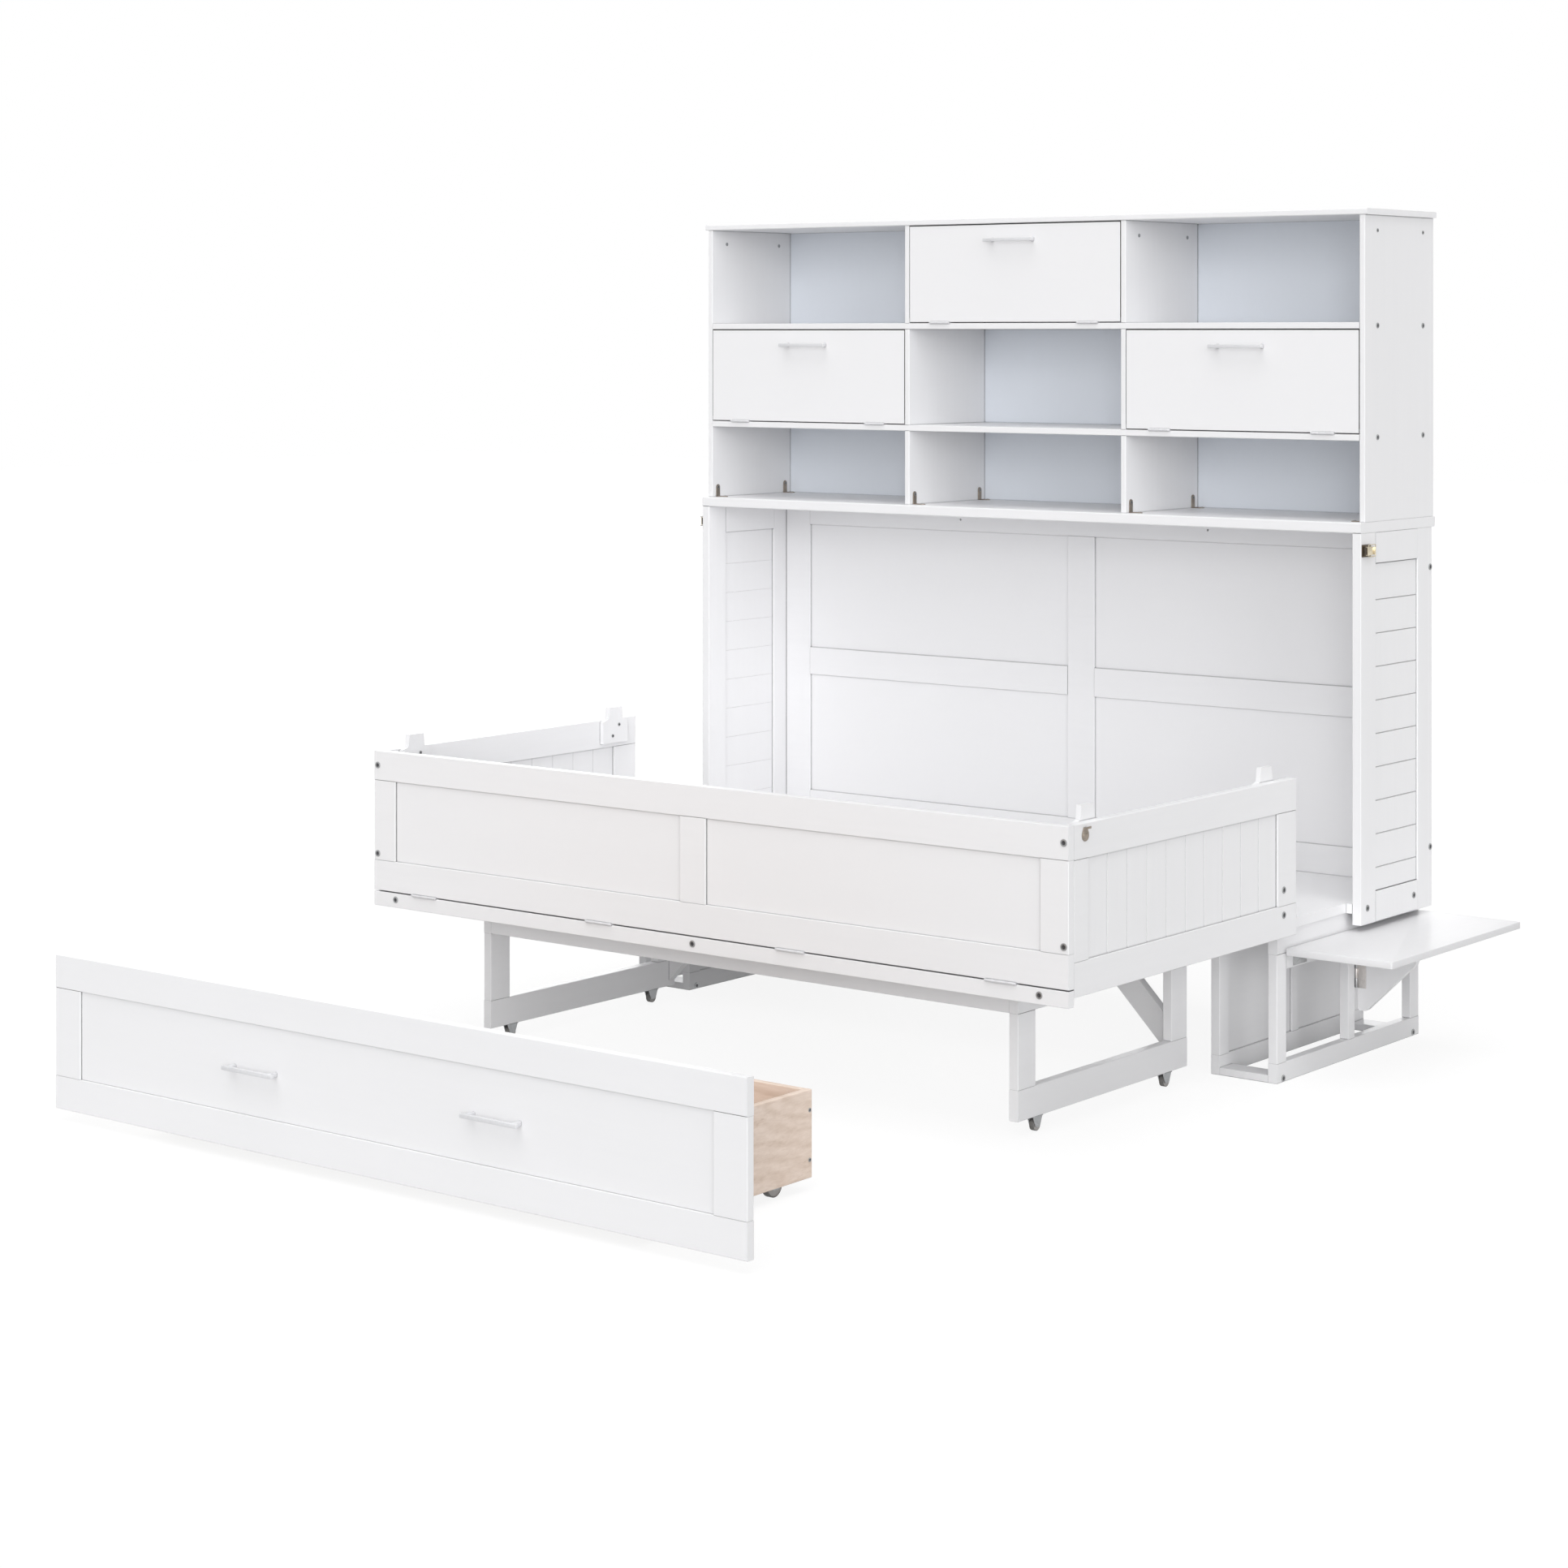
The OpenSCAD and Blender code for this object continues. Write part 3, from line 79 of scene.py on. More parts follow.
def distance(name, description, value, least, most):
    return FloatProperty(
        name=name,
        description=description,
        subtype="DISTANCE",
        unit="LENGTH",
        min=least,
        max=most,
        default=value,
    )


def number(name, description, value, least, most, kind=FloatProperty):
    return kind(name=name, description=description, min=least, max=most, default=value)


class WallBedFinish(bpy.types.PropertyGroup):
    """Colours and textures of the bed's surfaces"""

    front_white: tint("White lacquer", "Lacquered boards", (0.853, 0.852, 0.864))
    back_grey: tint("Bookcase back", "Board behind the bookcase", (0.81, 0.85, 0.91))
    pine: tint("Bare pine", "The drawer's box", (0.87, 0.735, 0.64))
    pine_late: tint("Pine grain", "Darker grain lines in the pine", (0.62, 0.47, 0.365))
    # Painted shade: the colour that gaps, seams and inner corners of the lacquer darken towards
    painted_seam_shade: tint("Seam shade", "Deep in the seams of the boards", (0.16, 0.16, 0.17))
    zinc: tint("Zinc", "Bolts and hidden hinges", (0.42, 0.425, 0.43))
    bronze: tint("Bronze", "Corner brackets and latch keepers", (0.36, 0.31, 0.26))
    aged_brass: tint("Aged brass", "Base plates of the latches", (0.13, 0.10, 0.07))
    bright_brass: tint("Bright brass", "Levers and loops of the latches", (0.74, 0.66, 0.50))
    powder_coat: tint("Powder coat", "Handles and coated hinges", (0.70, 0.70, 0.72))
    copper: tint("Copper", "Hinge of the side table's bracket", (0.66, 0.63, 0.61))
    caster_steel: tint("Caster steel", "Forks of the cart's casters", (0.42, 0.43, 0.44))
    hub: tint("Hub", "Hubs of the wheels", (0.38, 0.365, 0.355))
    tread: tint("Tread", "Treads of the wheels", (0.15, 0.145, 0.14))
    # Painted shade: near-black on the dish and socket of each bolt head
    socket: tint("Socket", "Dish and socket in a bolt's head", (0.10, 0.10, 0.105))
    # Painted shadow: near-black colour of the strips put in the gaps round the flaps
    band: tint("Gap band", "Bands in the gaps round the flaps", (0.03, 0.03, 0.032))
    # Painted shade: grey of the strips put beside the panels where the shadow gaps are
    joint: tint("Panel joint", "Lines where two panels meet", (0.30, 0.30, 0.305))
    crevice: distance("Seam depth", "Reach of the shade next to a seam", 0.005, 0.0005, 0.02)
    rounding: distance("Edge rounding", "Radius of a board's soft edges", 0.0009, 0.0, 0.01)


class WallBedStudio(bpy.types.PropertyGroup):
    """Camera and light"""

    camera_place: FloatVectorProperty(
        name="Camera place",
        description="Where the camera stands",
        subtype="TRANSLATION",
        unit="LENGTH",
        size=3,
        default=(4.8084, -6.23475, 1.7855),
    )
    camera_turn: FloatProperty(
        name="Camera turn",
        description="Angle of the camera round the vertical",
        subtype="ANGLE",
        default=0.6659,
    )
    lens: number("Lens", "Focal length on a 36 mm wide sensor, in mm", 75.79, 20.0, 200.0)
    rise: number("Shift", "Upward shift, as a share of the width", -0.2874, -0.5, 0.5)
    sky: number("Room light", "Strength of the room's even light", 0.23, 0.0, 2.0)
    key: number("Lamps", "Strength of all the lamps", 1.0, 0.0, 10.0)
    floor_tone: number("Floor tone", "Brightness of the floor's paint", 0.55, 0.0, 1.0)
    floor_glow: number("Floor glow", "Strength of the floor's own glow", 1.17, 0.0, 3.0)


class WallBedFittings(bpy.types.PropertyGroup):
    """Sizes of the modelled fittings"""

    bolt_sides: number("Bolt head sides", "Flat sides of a bolt's head", 32, 12, 64, IntProperty)
    bolt_least: distance("Least bolt head", "Radius on a through-bolt", 0.0068, 0.0, 0.01)
    wheel_sides: number("Wheel sides", "Flat sides of a wheel", 48, 16, 96, IntProperty)
    handle_least: distance("Least handle", "A shorter fitting is a hinge leaf", 0.08, 0.04, 0.12)
    handle_inset: distance("Handle posts", "Inset from the ends of the bar", 0.0095, 0.0, 0.03)
    handle_rounding: distance("Handle rounding", "Radius of the edges", 0.0012, 0.0, 0.004)
    loop_pin: distance("Loop pin", "Distance from the lever's pin", 0.008, 0.002, 0.03)
    wire_gauge: distance("Wire", "Radius of a latch loop's wire", 0.0012, 0.0005, 0.003)
    # Painted shadow: thickness of the dark bands and linings in the flaps' gaps
    band: distance("Gap band", "Thickness of the bands", 0.0008, 0.0002, 0.0012)
    flap_side_gap: distance("Flap side gap", "From a flap to its cell", 0.002, 0.001, 0.004)
    flap_top_gap: distance("Flap top gap", "Gap above a flap", 0.003, 0.0015, 0.006)
    leaf_corner: distance("Leaf corner", "Radius of the corners", 0.004, 0.0, 0.03)
    leaf_edge: distance("Leaf edge", "Radius of the soft edges", 0.0010, 0.0, 0.006)


# ---- modelling helpers


def clear_selection():
    if bpy.context.object is not None and bpy.context.object.mode != "OBJECT":
        bpy.ops.object.mode_set(mode="OBJECT")
    bpy.ops.object.select_all(action="DESELECT")


def take(thing):
    """Makes one piece the only selected and active one."""
    clear_selection()
    thing.select_set(True)
    bpy.context.view_layer.objects.active = thing


def drop(thing):
    take(thing)
    bpy.ops.object.delete()


def open_edit(thing):
    """Opens a piece for editing with all of its mesh selected."""
    take(thing)
    bpy.ops.object.mode_set(mode="EDIT")
    bpy.ops.mesh.select_all(action="SELECT")


def close_edit():
    bpy.ops.object.mode_set(mode="OBJECT")


def named(name):
    """Names the new primitive and settles its place, turn and size into its mesh."""
    thing = bpy.context.object
    thing.name = name
    thing.data.name = name
    bpy.ops.object.transform_apply(location=True, rotation=True, scale=True)
    return thing


def block(name, low, high):
    clear_selection()
    centre = [(a + b) / 2 for a, b in zip(low, high)]
    bpy.ops.mesh.primitive_cube_add(size=1.0, location=centre)
    bpy.context.object.scale = [b - a for a, b in zip(low, high)]
    return named(name)


def rod(name, radius, depth, centre, axis=Z, sides=32):
    clear_selection()
    quarter = math.pi / 2
    turn = ((0.0, quarter, 0.0), (quarter, 0.0, 0.0), (0.0, 0.0, 0.0))[axis]
    bpy.ops.mesh.primitive_cylinder_add(
        vertices=sides, radius=radius, depth=depth, location=centre, rotation=turn
    )
    return named(name)


def looks(axis, sign=0):
    """Picks the faces that look along an axis: up it, down it, or both at sign 0."""

    def wanted(face):
        part = face.normal[axis]
        return (sign * part if sign else abs(part)) > SQUARE_ON

    return wanted


def runs(axis, across=X, level=math.inf):
    """Picks the edges along an axis whose ends are below a level of another axis."""
    return lambda a, b: abs(a[axis] - b[axis]) > EDGE_RUN and max(a[across], b[across]) < level


def pick(thing, kind, elements, wanted):
    """Opens a piece for editing with just the wanted faces or edges selected."""
    open_edit(thing)
    bpy.ops.mesh.select_mode(type=kind)
    bpy.ops.mesh.select_all(action="DESELECT")
    close_edit()
    for element in elements:
        element.select = wanted(element)
    bpy.ops.object.mode_set(mode="EDIT")


def pick_faces(thing, wanted):
    pick(thing, "FACE", thing.data.polygons, wanted)


def pick_edges(thing, wanted):
    """Opens a piece with just the edges selected whose two ends are wanted together."""
    points = thing.data.vertices

    def both(edge):
        return wanted(*(points[i].co for i in edge.vertices))

    pick(thing, "EDGE", thing.data.edges, both)


def inset(*steps):
    """Insets the picked faces once for each pair of a width and a depth."""
    for width, depth in steps:
        bpy.ops.mesh.inset(thickness=width, depth=depth)


def inset_faces(thing, wanted, *steps):
    pick_faces(thing, wanted)
    inset(*steps)
    close_edit()


def bevel_edges(thing, wanted, width, segments):
    pick_edges(thing, wanted)
    bpy.ops.mesh.bevel(offset=width, segments=segments)
    close_edit()


def taper_end(thing, wanted, scale, about):
    """Scales the wanted end faces about a point."""
    pick_faces(thing, wanted)
    bpy.ops.transform.resize(value=scale, center_override=about)
    close_edit()


def recalculate_normals(thing):
    open_edit(thing)
    bpy.ops.mesh.normals_make_consistent(inside=False)
    close_edit()


def round_edges(thing, width, segments=3, limit=35.0):
    """Rounds the edges that are sharper than the limit, in degrees."""
    take(thing)
    soft = thing.modifiers.new("rounding", "BEVEL")
    soft.width = width
    soft.segments = segments
    soft.limit_method = "ANGLE"
    soft.angle_limit = math.radians(limit)
    bpy.ops.object.modifier_apply(modifier=soft.name)
    bpy.ops.object.shade_smooth_by_angle(angle=SMOOTH_ANGLE)


def cut_away(thing, tool):
    """Cuts one piece with another, which is used up."""
    take(thing)
    saw = thing.modifiers.new("cut", "BOOLEAN")
    saw.operation = "DIFFERENCE"
    saw.solver = "EXACT"
    saw.object = tool
    bpy.ops.object.modifier_apply(modifier=saw.name)
    drop(tool)


def joined(name, things):
    clear_selection()
    for thing in things:
        thing.select_set(True)
    bpy.context.view_layer.objects.active = things[0]
    if len(things) > 1:
        bpy.ops.object.join()
    whole = bpy.context.object
    whole.name = name
    whole.data.name = name
    return whole


def copy_of(master, name, matrix):
    """A copy with its own mesh, moved in its mesh."""
    twin = master.copy()
    twin.data = master.data.copy()
    twin.name = name
    bpy.context.scene.collection.objects.link(twin)
    twin.data.transform(matrix)
    return twin


def turn_to(out):
    """The turn that points a piece's top in the direction out."""
    return out.to_track_quat("Z", "Y").to_matrix().to_4x4()


def solids_of(node):
    """The points of each separate solid of a CAD node."""
    work = bmesh.new()
    work.from_mesh(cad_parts[node].data)
    bmesh.ops.remove_doubles(work, verts=work.verts, dist=MERGE)
    left = set(work.verts)
    solids = []
    for start in work.verts:
        if start not in left:
            continue
        left.discard(start)
        front = [start]
        found = []
        while front:
            point = front.pop()
            found.append(point.co.copy())
            for edge in point.link_edges:
                other = edge.other_vert(point)
                if other in left:
                    left.discard(other)
                    front.append(other)
        solids.append(found)
    work.free()
    return solids


def corners(points):
    low = Vector([min(point[i] for point in points) for i in range(3)])
    high = Vector([max(point[i] for point in points) for i in range(3)])
    return low, high


def boxes_of(node):
    """The two corners of each separate solid of a CAD node."""
    return [corners(points) for points in solids_of(node)]


def softened(name, node, width, segments=2, keep=None):
    """A copy of a CAD node with its edges rounded. keep picks solids by their two corners."""
    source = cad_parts[node]
    thing = bpy.data.objects.new(name, source.data.copy())
    bpy.context.scene.collection.objects.link(thing)
    thing.data.materials.clear()
    open_edit(thing)
    bpy.ops.mesh.remove_doubles(threshold=MERGE)
    bpy.ops.mesh.dissolve_limited(angle_limit=math.radians(1.0))
    if keep is not None:
        bpy.ops.mesh.separate(type="LOOSE")
    close_edit()
    if keep is not None:
        kept = []
        for part in list(bpy.context.selected_objects):
            if keep(*corners([point.co for point in part.data.vertices])):
                kept.append(part)
            else:
                drop(part)
        thing = joined(name, kept)
    round_edges(thing, width, segments)
    return thing


def settle(thing, body, slot, material, *nodes):
    """Finishes a piece: its material, its body and the CAD nodes it stands for. The slot is not
    used.
    """
    if material is not None:
        thing.data.materials.clear()
        thing.data.materials.append(material)
        for face in thing.data.polygons:
            face.material_index = 0
    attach(thing, body)
    if nodes:
        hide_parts(*nodes)


# ---- fittings

# Height of a bolt's head in the CAD part
HEAD_HEIGHT = 0.0016
# A bolt with a longer shank goes through two boards
THROUGH = 0.03
# Thickness of the sheets that forks and latch levers are pressed from
FORK_SHEET = 0.002
LEVER_SHEET = 0.0015
# Radius of an axle as a share of its wheel's radius, and the wheel's play on it
AXLE_SHARE = 0.18
AXLE_PLAY = 0.00015


def furniture_bolt(head, thick, shank, length):
    """A flat bolt head with a rim, a shallow dish and a hexagon socket, on its shank."""
    sides = bpy.context.scene.wall_bed_fittings.bolt_sides
    piece = rod("bolt", head, thick, (0.0, 0.0, thick / 2), sides=sides)
    rim = (head * 0.10, 0.0)
    slope = (head * 0.14, -thick * 0.28)
    floor = (head * 0.16, thick * 0.06)
    inset_faces(piece, looks(Z, 1), rim, slope, floor)
    pick_faces(piece, looks(Z, -1))
    inset((head - shank, 0.0))
    bpy.ops.mesh.extrude_region_move(TRANSFORM_OT_translate={"value": (0.0, 0.0, -length)})
    bpy.ops.transform.resize(value=(0.8, 0.8, 1.0))
    close_edit()
    cut_away(piece, rod("socket", head * 0.40, thick * 1.5, (0.0, 0.0, thick * 1.05), sides=6))
    round_edges(piece, min(0.0003, thick * 0.15), 2, 50.0)
    # Painted shade: the dish and socket faces take the second, near-black material
    dish_radius = head * 0.66
    dish_floor = thick * 0.2
    for face in piece.data.polygons:
        in_dish = face.center.xy.length < dish_radius and face.center.z > dish_floor
        face.material_index = 1 if in_dish else 0
    return piece


def bolt_shape(points, least):
    """Where the head of a CAD bolt sits, which way it looks, and the sizes of head and shank."""
    low, high = corners(points)
    size = high - low
    axis = min(range(3), key=lambda i: abs(size[ACROSS[i][0]] - size[ACROSS[i][1]]))
    a, b = ACROSS[axis]
    middle = (low + high) / 2

    def reach(level):
        return max(
            math.hypot(point[a] - middle[a], point[b] - middle[b])
            for point in points
            if abs(point[axis] - level) < SAME_LEVEL
        )

    ends = reach(low[axis]), reach(high[axis])
    top = ends[1] > ends[0]
    steps = sorted({round(point[axis], 6) for point in points}, reverse=top)
    seats = [step for step in steps if abs(step - steps[0]) > SAME_LEVEL]
    seat = min(seats, key=lambda step: abs(abs(step - steps[0]) - HEAD_HEIGHT))
    thick = abs(seat - steps[0])
    length = size[axis] - thick
    head = max(size[a] / 2, least if length > THROUGH else 0.0)
    middle[axis] = seat
    out = Vector((0.0, 0.0, 0.0))
    out[axis] = 1.0 if top else -1.0
    return middle, out, tuple(round(value, 5) for value in (head, thick, min(ends), length))


def bolts_for(solids, *materials, least=0.0):
    """A modelled bolt in place of each CAD bolt: its rim and its socket have their own material.

    A bolt that goes through two boards has a head of at least the given radius.
    """
    # The second material, on each head's dish and socket, is painted shade
    masters = {}
    bolts = []
    for points in solids:
        place, out, sizes = bolt_shape(points, least)
        if sizes not in masters:
            masters[sizes] = furniture_bolt(*sizes)
            for material in materials:
                masters[sizes].data.materials.append(material)
        matrix = Matrix.Translation(place) @ turn_to(out)
        bolts.append(copy_of(masters[sizes], "bolt", matrix))
    for master in masters.values():
        drop(master)
    return bolts


def wheel(low, high):
    """A wheel with a tread, a dished web, a raised hub and a bore for its axle."""
    middle = (low + high) / 2
    radius = (high.z - low.z) / 2
    width = high.x - low.x
    bore = radius * AXLE_SHARE + AXLE_PLAY

    def far(point):
        return math.hypot(point.y - middle.y, point.z - middle.z)

    sides = bpy.context.scene.wall_bed_fittings.wheel_sides
    piece = rod("wheel", radius, width, middle, axis=X, sides=sides)
    tread = (radius * 0.10, 0.0)
    web_slope = (radius * 0.05, -width * 0.09)
    web = (radius * 0.40, 0.0)
    hub_slope = (radius * 0.05, width * 0.08)
    hub = (radius * 0.40 - bore, 0.0)
    pick_faces(piece, looks(X))
    inset(tread, web_slope, web, hub_slope, hub)
    bpy.ops.mesh.delete(type="FACE")
    close_edit()
    pick_edges(piece, lambda a, b: max(far(a), far(b)) < bore * 1.05)
    bpy.ops.mesh.bridge_edge_loops()
    close_edit()
    recalculate_normals(piece)
    round_edges(piece, radius * 0.045, 3, 50.0)
    for face in piece.data.polygons:
        face.material_index = 1 if far(face.center) > radius * 0.91 else 0
    return piece


def wheels(name, node, body, slot, *materials):
    """Models every wheel of a CAD node. The materials are those of the hub and of the tread."""
    made = []
    for low, high in boxes_of(node):
        made.append(wheel(low, high))
        for material in materials:
            made[-1].data.materials.append(material)
    settle(joined(name, made), body, slot, None, node)


def caster_fork(low, high, axle, wheel_radius, wheel_width):
    """A pressed fork: a plate with round corners, two tapered cheeks and a riveted axle."""
    clearance = 0.001
    plate = block("plate", (low.x, low.y, high.z - FORK_SHEET), high)
    bevel_edges(plate, runs(Z), 0.004, 4)
    round_edges(plate, 0.0004, 2)
    parts = [plate]
    foot = axle.z - wheel_radius * 0.35
    for side in (-1.0, 1.0):
        near = axle.x + side * (wheel_width / 2 + clearance)
        far = near + side * FORK_SHEET
        cheek = block(
            "cheek",
            (min(near, far), low.y + clearance, foot),
            (max(near, far), high.y - clearance, high.z - 0.95 * FORK_SHEET),
        )
        taper_end(cheek, looks(Z, -1), (1.0, 0.45, 1.0), (axle.x, axle.y, foot))
        bevel_edges(cheek, runs(X, Z, foot + 0.0001), wheel_radius * 0.30, 5)
        inset_faces(cheek, looks(X), (wheel_radius * 0.10, -0.0003))
        round_edges(cheek, 0.0003, 2)
        parts.append(cheek)
    rivet_ends = 0.0065
    pin = rod("axle", wheel_radius * AXLE_SHARE, wheel_width + rivet_ends, axle, X, 24)
    inset_faces(pin, looks(X), (wheel_radius * 0.05, 0.0002), (wheel_radius * 0.06, -0.0003))
    round_edges(pin, 0.0001, 2)
    parts.append(pin)
    return joined("fork", parts)


def forks_for(holders, *wheel_nodes):
    """One fork over each wheel, the size of the CAD fork nearest to it."""
    made = []
    for node in wheel_nodes:
        for low, high in boxes_of(node):
            axle = (low + high) / 2
            box = min(holders, key=lambda pair: ((pair[0] + pair[1]) / 2 - axle).xy.length)
            made.append(caster_fork(*box, axle, (high.z - low.z) / 2, high.x - low.x))
    return made


def handle_bar(low, high, post_inset, rounding):
    """A square bar on two posts, each post set in from the end of the bar."""
    depth = high.z - low.z
    parts = [block("bar", low, (high.x, low.y + depth, high.z))]
    round_edges(parts[0], rounding, 3)
    into_bar = 0.0005
    for start in (low.x + post_inset, high.x - post_inset - depth):
        near = (start, low.y + depth - into_bar, low.z)
        post = block("post", near, (start + depth, high.y, high.z))
        inset_faces(post, looks(Y, 1), (depth * 0.08, 0.0))
        round_edges(post, rounding * 0.5, 2)
        parts.append(post)
    return joined("handle", parts)


def latch_handle(name, node):
    """A pressed lever: a flat back, two tapered cheeks with pin holes and a finger lip."""
    low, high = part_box(node)
    pin_inset = 0.003
    pin = Vector((low.x + pin_inset, low.y + pin_inset, (low.z + high.z) / 2))
    loop_pin = pin + Vector((0.0, bpy.context.scene.wall_bed_fittings.loop_pin, 0.0))
    back_x = low.x + 0.006
    cheek_x = low.x + 0.007
    end = high.y - 0.0005
    cheek_end = pin.y + 0.7 * (end - pin.y)
    back = block("back", (back_x, low.y, low.z), (back_x + LEVER_SHEET, end, high.z))
    taper_end(back, looks(Y, 1), (1.0, 1.0, 0.82), (low.x, end, pin.z))
    round_edges(back, 0.0004, 2)
    parts = [back]
    for z in (low.z, high.z - LEVER_SHEET):
        cheek = block("cheek", (low.x, low.y, z), (cheek_x, cheek_end, z + LEVER_SHEET))
        taper_end(cheek, looks(Y, 1), (0.45, 1.0, 1.0), (cheek_x, cheek_end, z))
        bevel_edges(cheek, runs(Z, X, low.x + 0.001), 0.0018, 5)
        for place, radius in ((pin, 0.00165), (loop_pin, 0.0014)):
            cut_away(cheek, rod("drill", radius, 0.1, place, sides=24))
        parts.append(cheek)
    lip = block("lip", (back_x, end - 0.001, low.z), high)
    taper_end(lip, looks(X, 1), (1.0, 1.0, 0.72), (high.x, end, pin.z))
    round_edges(lip, 0.0005, 3)
    parts.append(lip)
    return joined(name, parts)


def wire_loop(name, node, gauge):
    """A closed wire with round corners, in the plane of its CAD node."""
    low, high = (Vector(corner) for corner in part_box(node))
    middle = (low + high) / 2
    clear_selection()
    bpy.ops.mesh.primitive_plane_add(size=1.0, location=middle, rotation=(0.0, math.pi / 2, 0.0))
    plane = bpy.context.object
    plane.scale = (high.z - low.z - 2 * gauge, high.y - low.y - 2 * gauge, 1.0)
    named(name)
    open_edit(plane)
    bpy.ops.mesh.bevel(offset=0.0035, segments=6, affect="VERTICES")
    bpy.ops.mesh.delete(type="ONLY_FACE")
    close_edit()
    bpy.ops.object.convert(target="CURVE")
    plane.data.bevel_depth = gauge
    plane.data.bevel_resolution = 4
    bpy.ops.object.convert(target="MESH")
    bpy.ops.object.shade_smooth()
    return bpy.context.object


# ---- shader helpers

COLOUR = "NodeSocketColor"
VALUE = "NodeSocketFloat"
VECTOR = "NodeSocketVector"
SURFACE = {"Colour": COLOUR, "Roughness": VALUE, "Height": VALUE}


def fill(node, values):
    """Sets the inputs of a node, by name or number, to a value or links them to a socket."""
    for name, value in values.items():
        socket = node.inputs[name]
        if isinstance(value, (int, float, tuple)):
            socket.default_value = value
        else:
            node.id_data.links.new(value, socket)
    return node


def new_node(tree, kind, values, **settings):
    """A shader node with its settings and its inputs set."""
    node = tree.nodes.new("ShaderNode" + kind)
    for name, value in settings.items():
        setattr(node, name, value)
    return fill(node, values)


def new_group(name, inputs, outputs=None):
    """An empty shader node group: inputs are names with defaults, outputs names with kinds."""
    group = bpy.data.node_groups.new(name, "ShaderNodeTree")
    for label, default in inputs.items():
        kind = VALUE if isinstance(default, float) else COLOUR if len(default) == 4 else VECTOR
        group.interface.new_socket(label, in_out="INPUT", socket_type=kind).default_value = default
    for label, kind in (outputs or SURFACE).items():
        group.interface.new_socket(label, in_out="OUTPUT", socket_type=kind)
    start = group.nodes.new("NodeGroupInput").outputs
    return group, start, group.nodes.new("NodeGroupOutput")


def object_place(tree):
    return new_node(tree, "TexCoord", {}).outputs["Object"]


def places(group, start):
    """The plain object place, and the one stretched along the grain."""
    where = object_place(group)
    return where, vectors(group, "MULTIPLY", where, start["Along"])[0]


def noise(tree, vector, scale, detail, rough=0.5, output="Fac"):
    values = {"Vector": vector, "Scale": scale, "Detail": detail, "Roughness": rough}
    return new_node(tree, "TexNoise", values).outputs[output]


def spread(tree, *values):
    """Maps a value from one range onto another: the value, then the ends of both ranges."""
    names = ("Value", "From Min", "From Max", "To Min", "To Max")
    return new_node(tree, "MapRange", dict(zip(names, values))).outputs["Result"]


def added(tree, *values):
    return new_node(tree, "Math", dict(enumerate(values)), operation="ADD").outputs[0]


def times(tree, *values):
    return new_node(tree, "Math", dict(enumerate(values)), operation="MULTIPLY").outputs[0]


def vectors(tree, operation, *values):
    return new_node(tree, "VectorMath", dict(enumerate(values)), operation=operation).outputs


def mixed(tree, share, a, b):
    """Colour mix of a and b by share. Only numbers tell the colour sockets apart."""
    return new_node(tree, "Mix", {0: share, 6: a, 7: b}, data_type="RGBA").outputs[2]


def darker(tree, colour, value, saturation=1.0):
    values = {"Color": colour, "Value": value, "Saturation": saturation}
    return new_node(tree, "HueSaturation", values).outputs["Color"]


# ---- node groups


def lacquer_group():
    """Sprayed lacquer over pine: faint cloudiness, orange peel, and grain that shows through."""
    inputs = {
        "Colour": (0.8, 0.8, 0.8, 1.0),
        "Cloudiness": 0.03,
        "Grain": 0.4,
        "Along": (1.0, 1.0, 1.0),
    }
    group, start, end = new_group("Lacquer film", inputs)
    where, stretched = places(group, start)
    cloud = noise(group, where, 2.3, 3.0)
    grain = noise(group, stretched, 60.0, 5.0, 0.62)
    peel = noise(group, where, 900.0, 2.0)
    shade = times(group, spread(group, cloud, 0.3, 0.7, 0.0, 1.0), start["Cloudiness"])
    lines = times(group, spread(group, grain, 0.42, 0.70, 0.0, 0.075), start["Grain"])
    dark = darker(group, start["Colour"], 0.72, 1.15)
    colour = mixed(group, added(group, shade, lines), start["Colour"], dark)
    rough = spread(group, cloud, 0.25, 0.75, 0.34, 0.44)
    rough = added(group, rough, spread(group, grain, 0.3, 0.7, -0.02, 0.03))
    height = added(group, times(group, grain, start["Grain"]), times(group, peel, 0.12))
    fill(end, {"Colour": colour, "Roughness": rough, "Height": height})
    return group


def edge_group():
    """A mask that is 1 on an edge and 0 on a flat face, broken up so that wear looks natural."""
    inputs = {"Radius": 0.0015, "Amount": 0.5}
    group, start, end = new_group("Edge wear", inputs, {"Mask": VALUE, "Normal": VECTOR})
    soft = new_node(group, "Bevel", {"Radius": start["Radius"]}, samples=4).outputs["Normal"]
    flat = new_node(group, "NewGeometry", {}).outputs["Normal"]
    edge = spread(group, vectors(group, "DOT_PRODUCT", soft, flat)["Value"], 0.86, 0.99, 1.0, 0.0)
    patch = spread(group, noise(group, object_place(group), 22.0, 4.0), 0.38, 0.62, 0.2, 1.0)
    mask = times(group, times(group, edge, patch), start["Amount"])
    fill(end, {"Mask": mask, "Normal": soft})
    return group


def painted_crevice_shade_group():
    """A mask for painted shade: 1 deep in a gap, a seam or an inner corner and 0 in the open."""
    group, start, end = new_group("Painted crevice shade", {"Depth": 0.005, "Open": 0.84}, {"Mask": VALUE})
    near = new_node(group, "AmbientOcclusion", {"Distance": start["Depth"]}, samples=6)
    fill(end, {"Mask": spread(group, near.outputs["AO"], 0.15, start["Open"], 1.0, 0.0)})
    return group


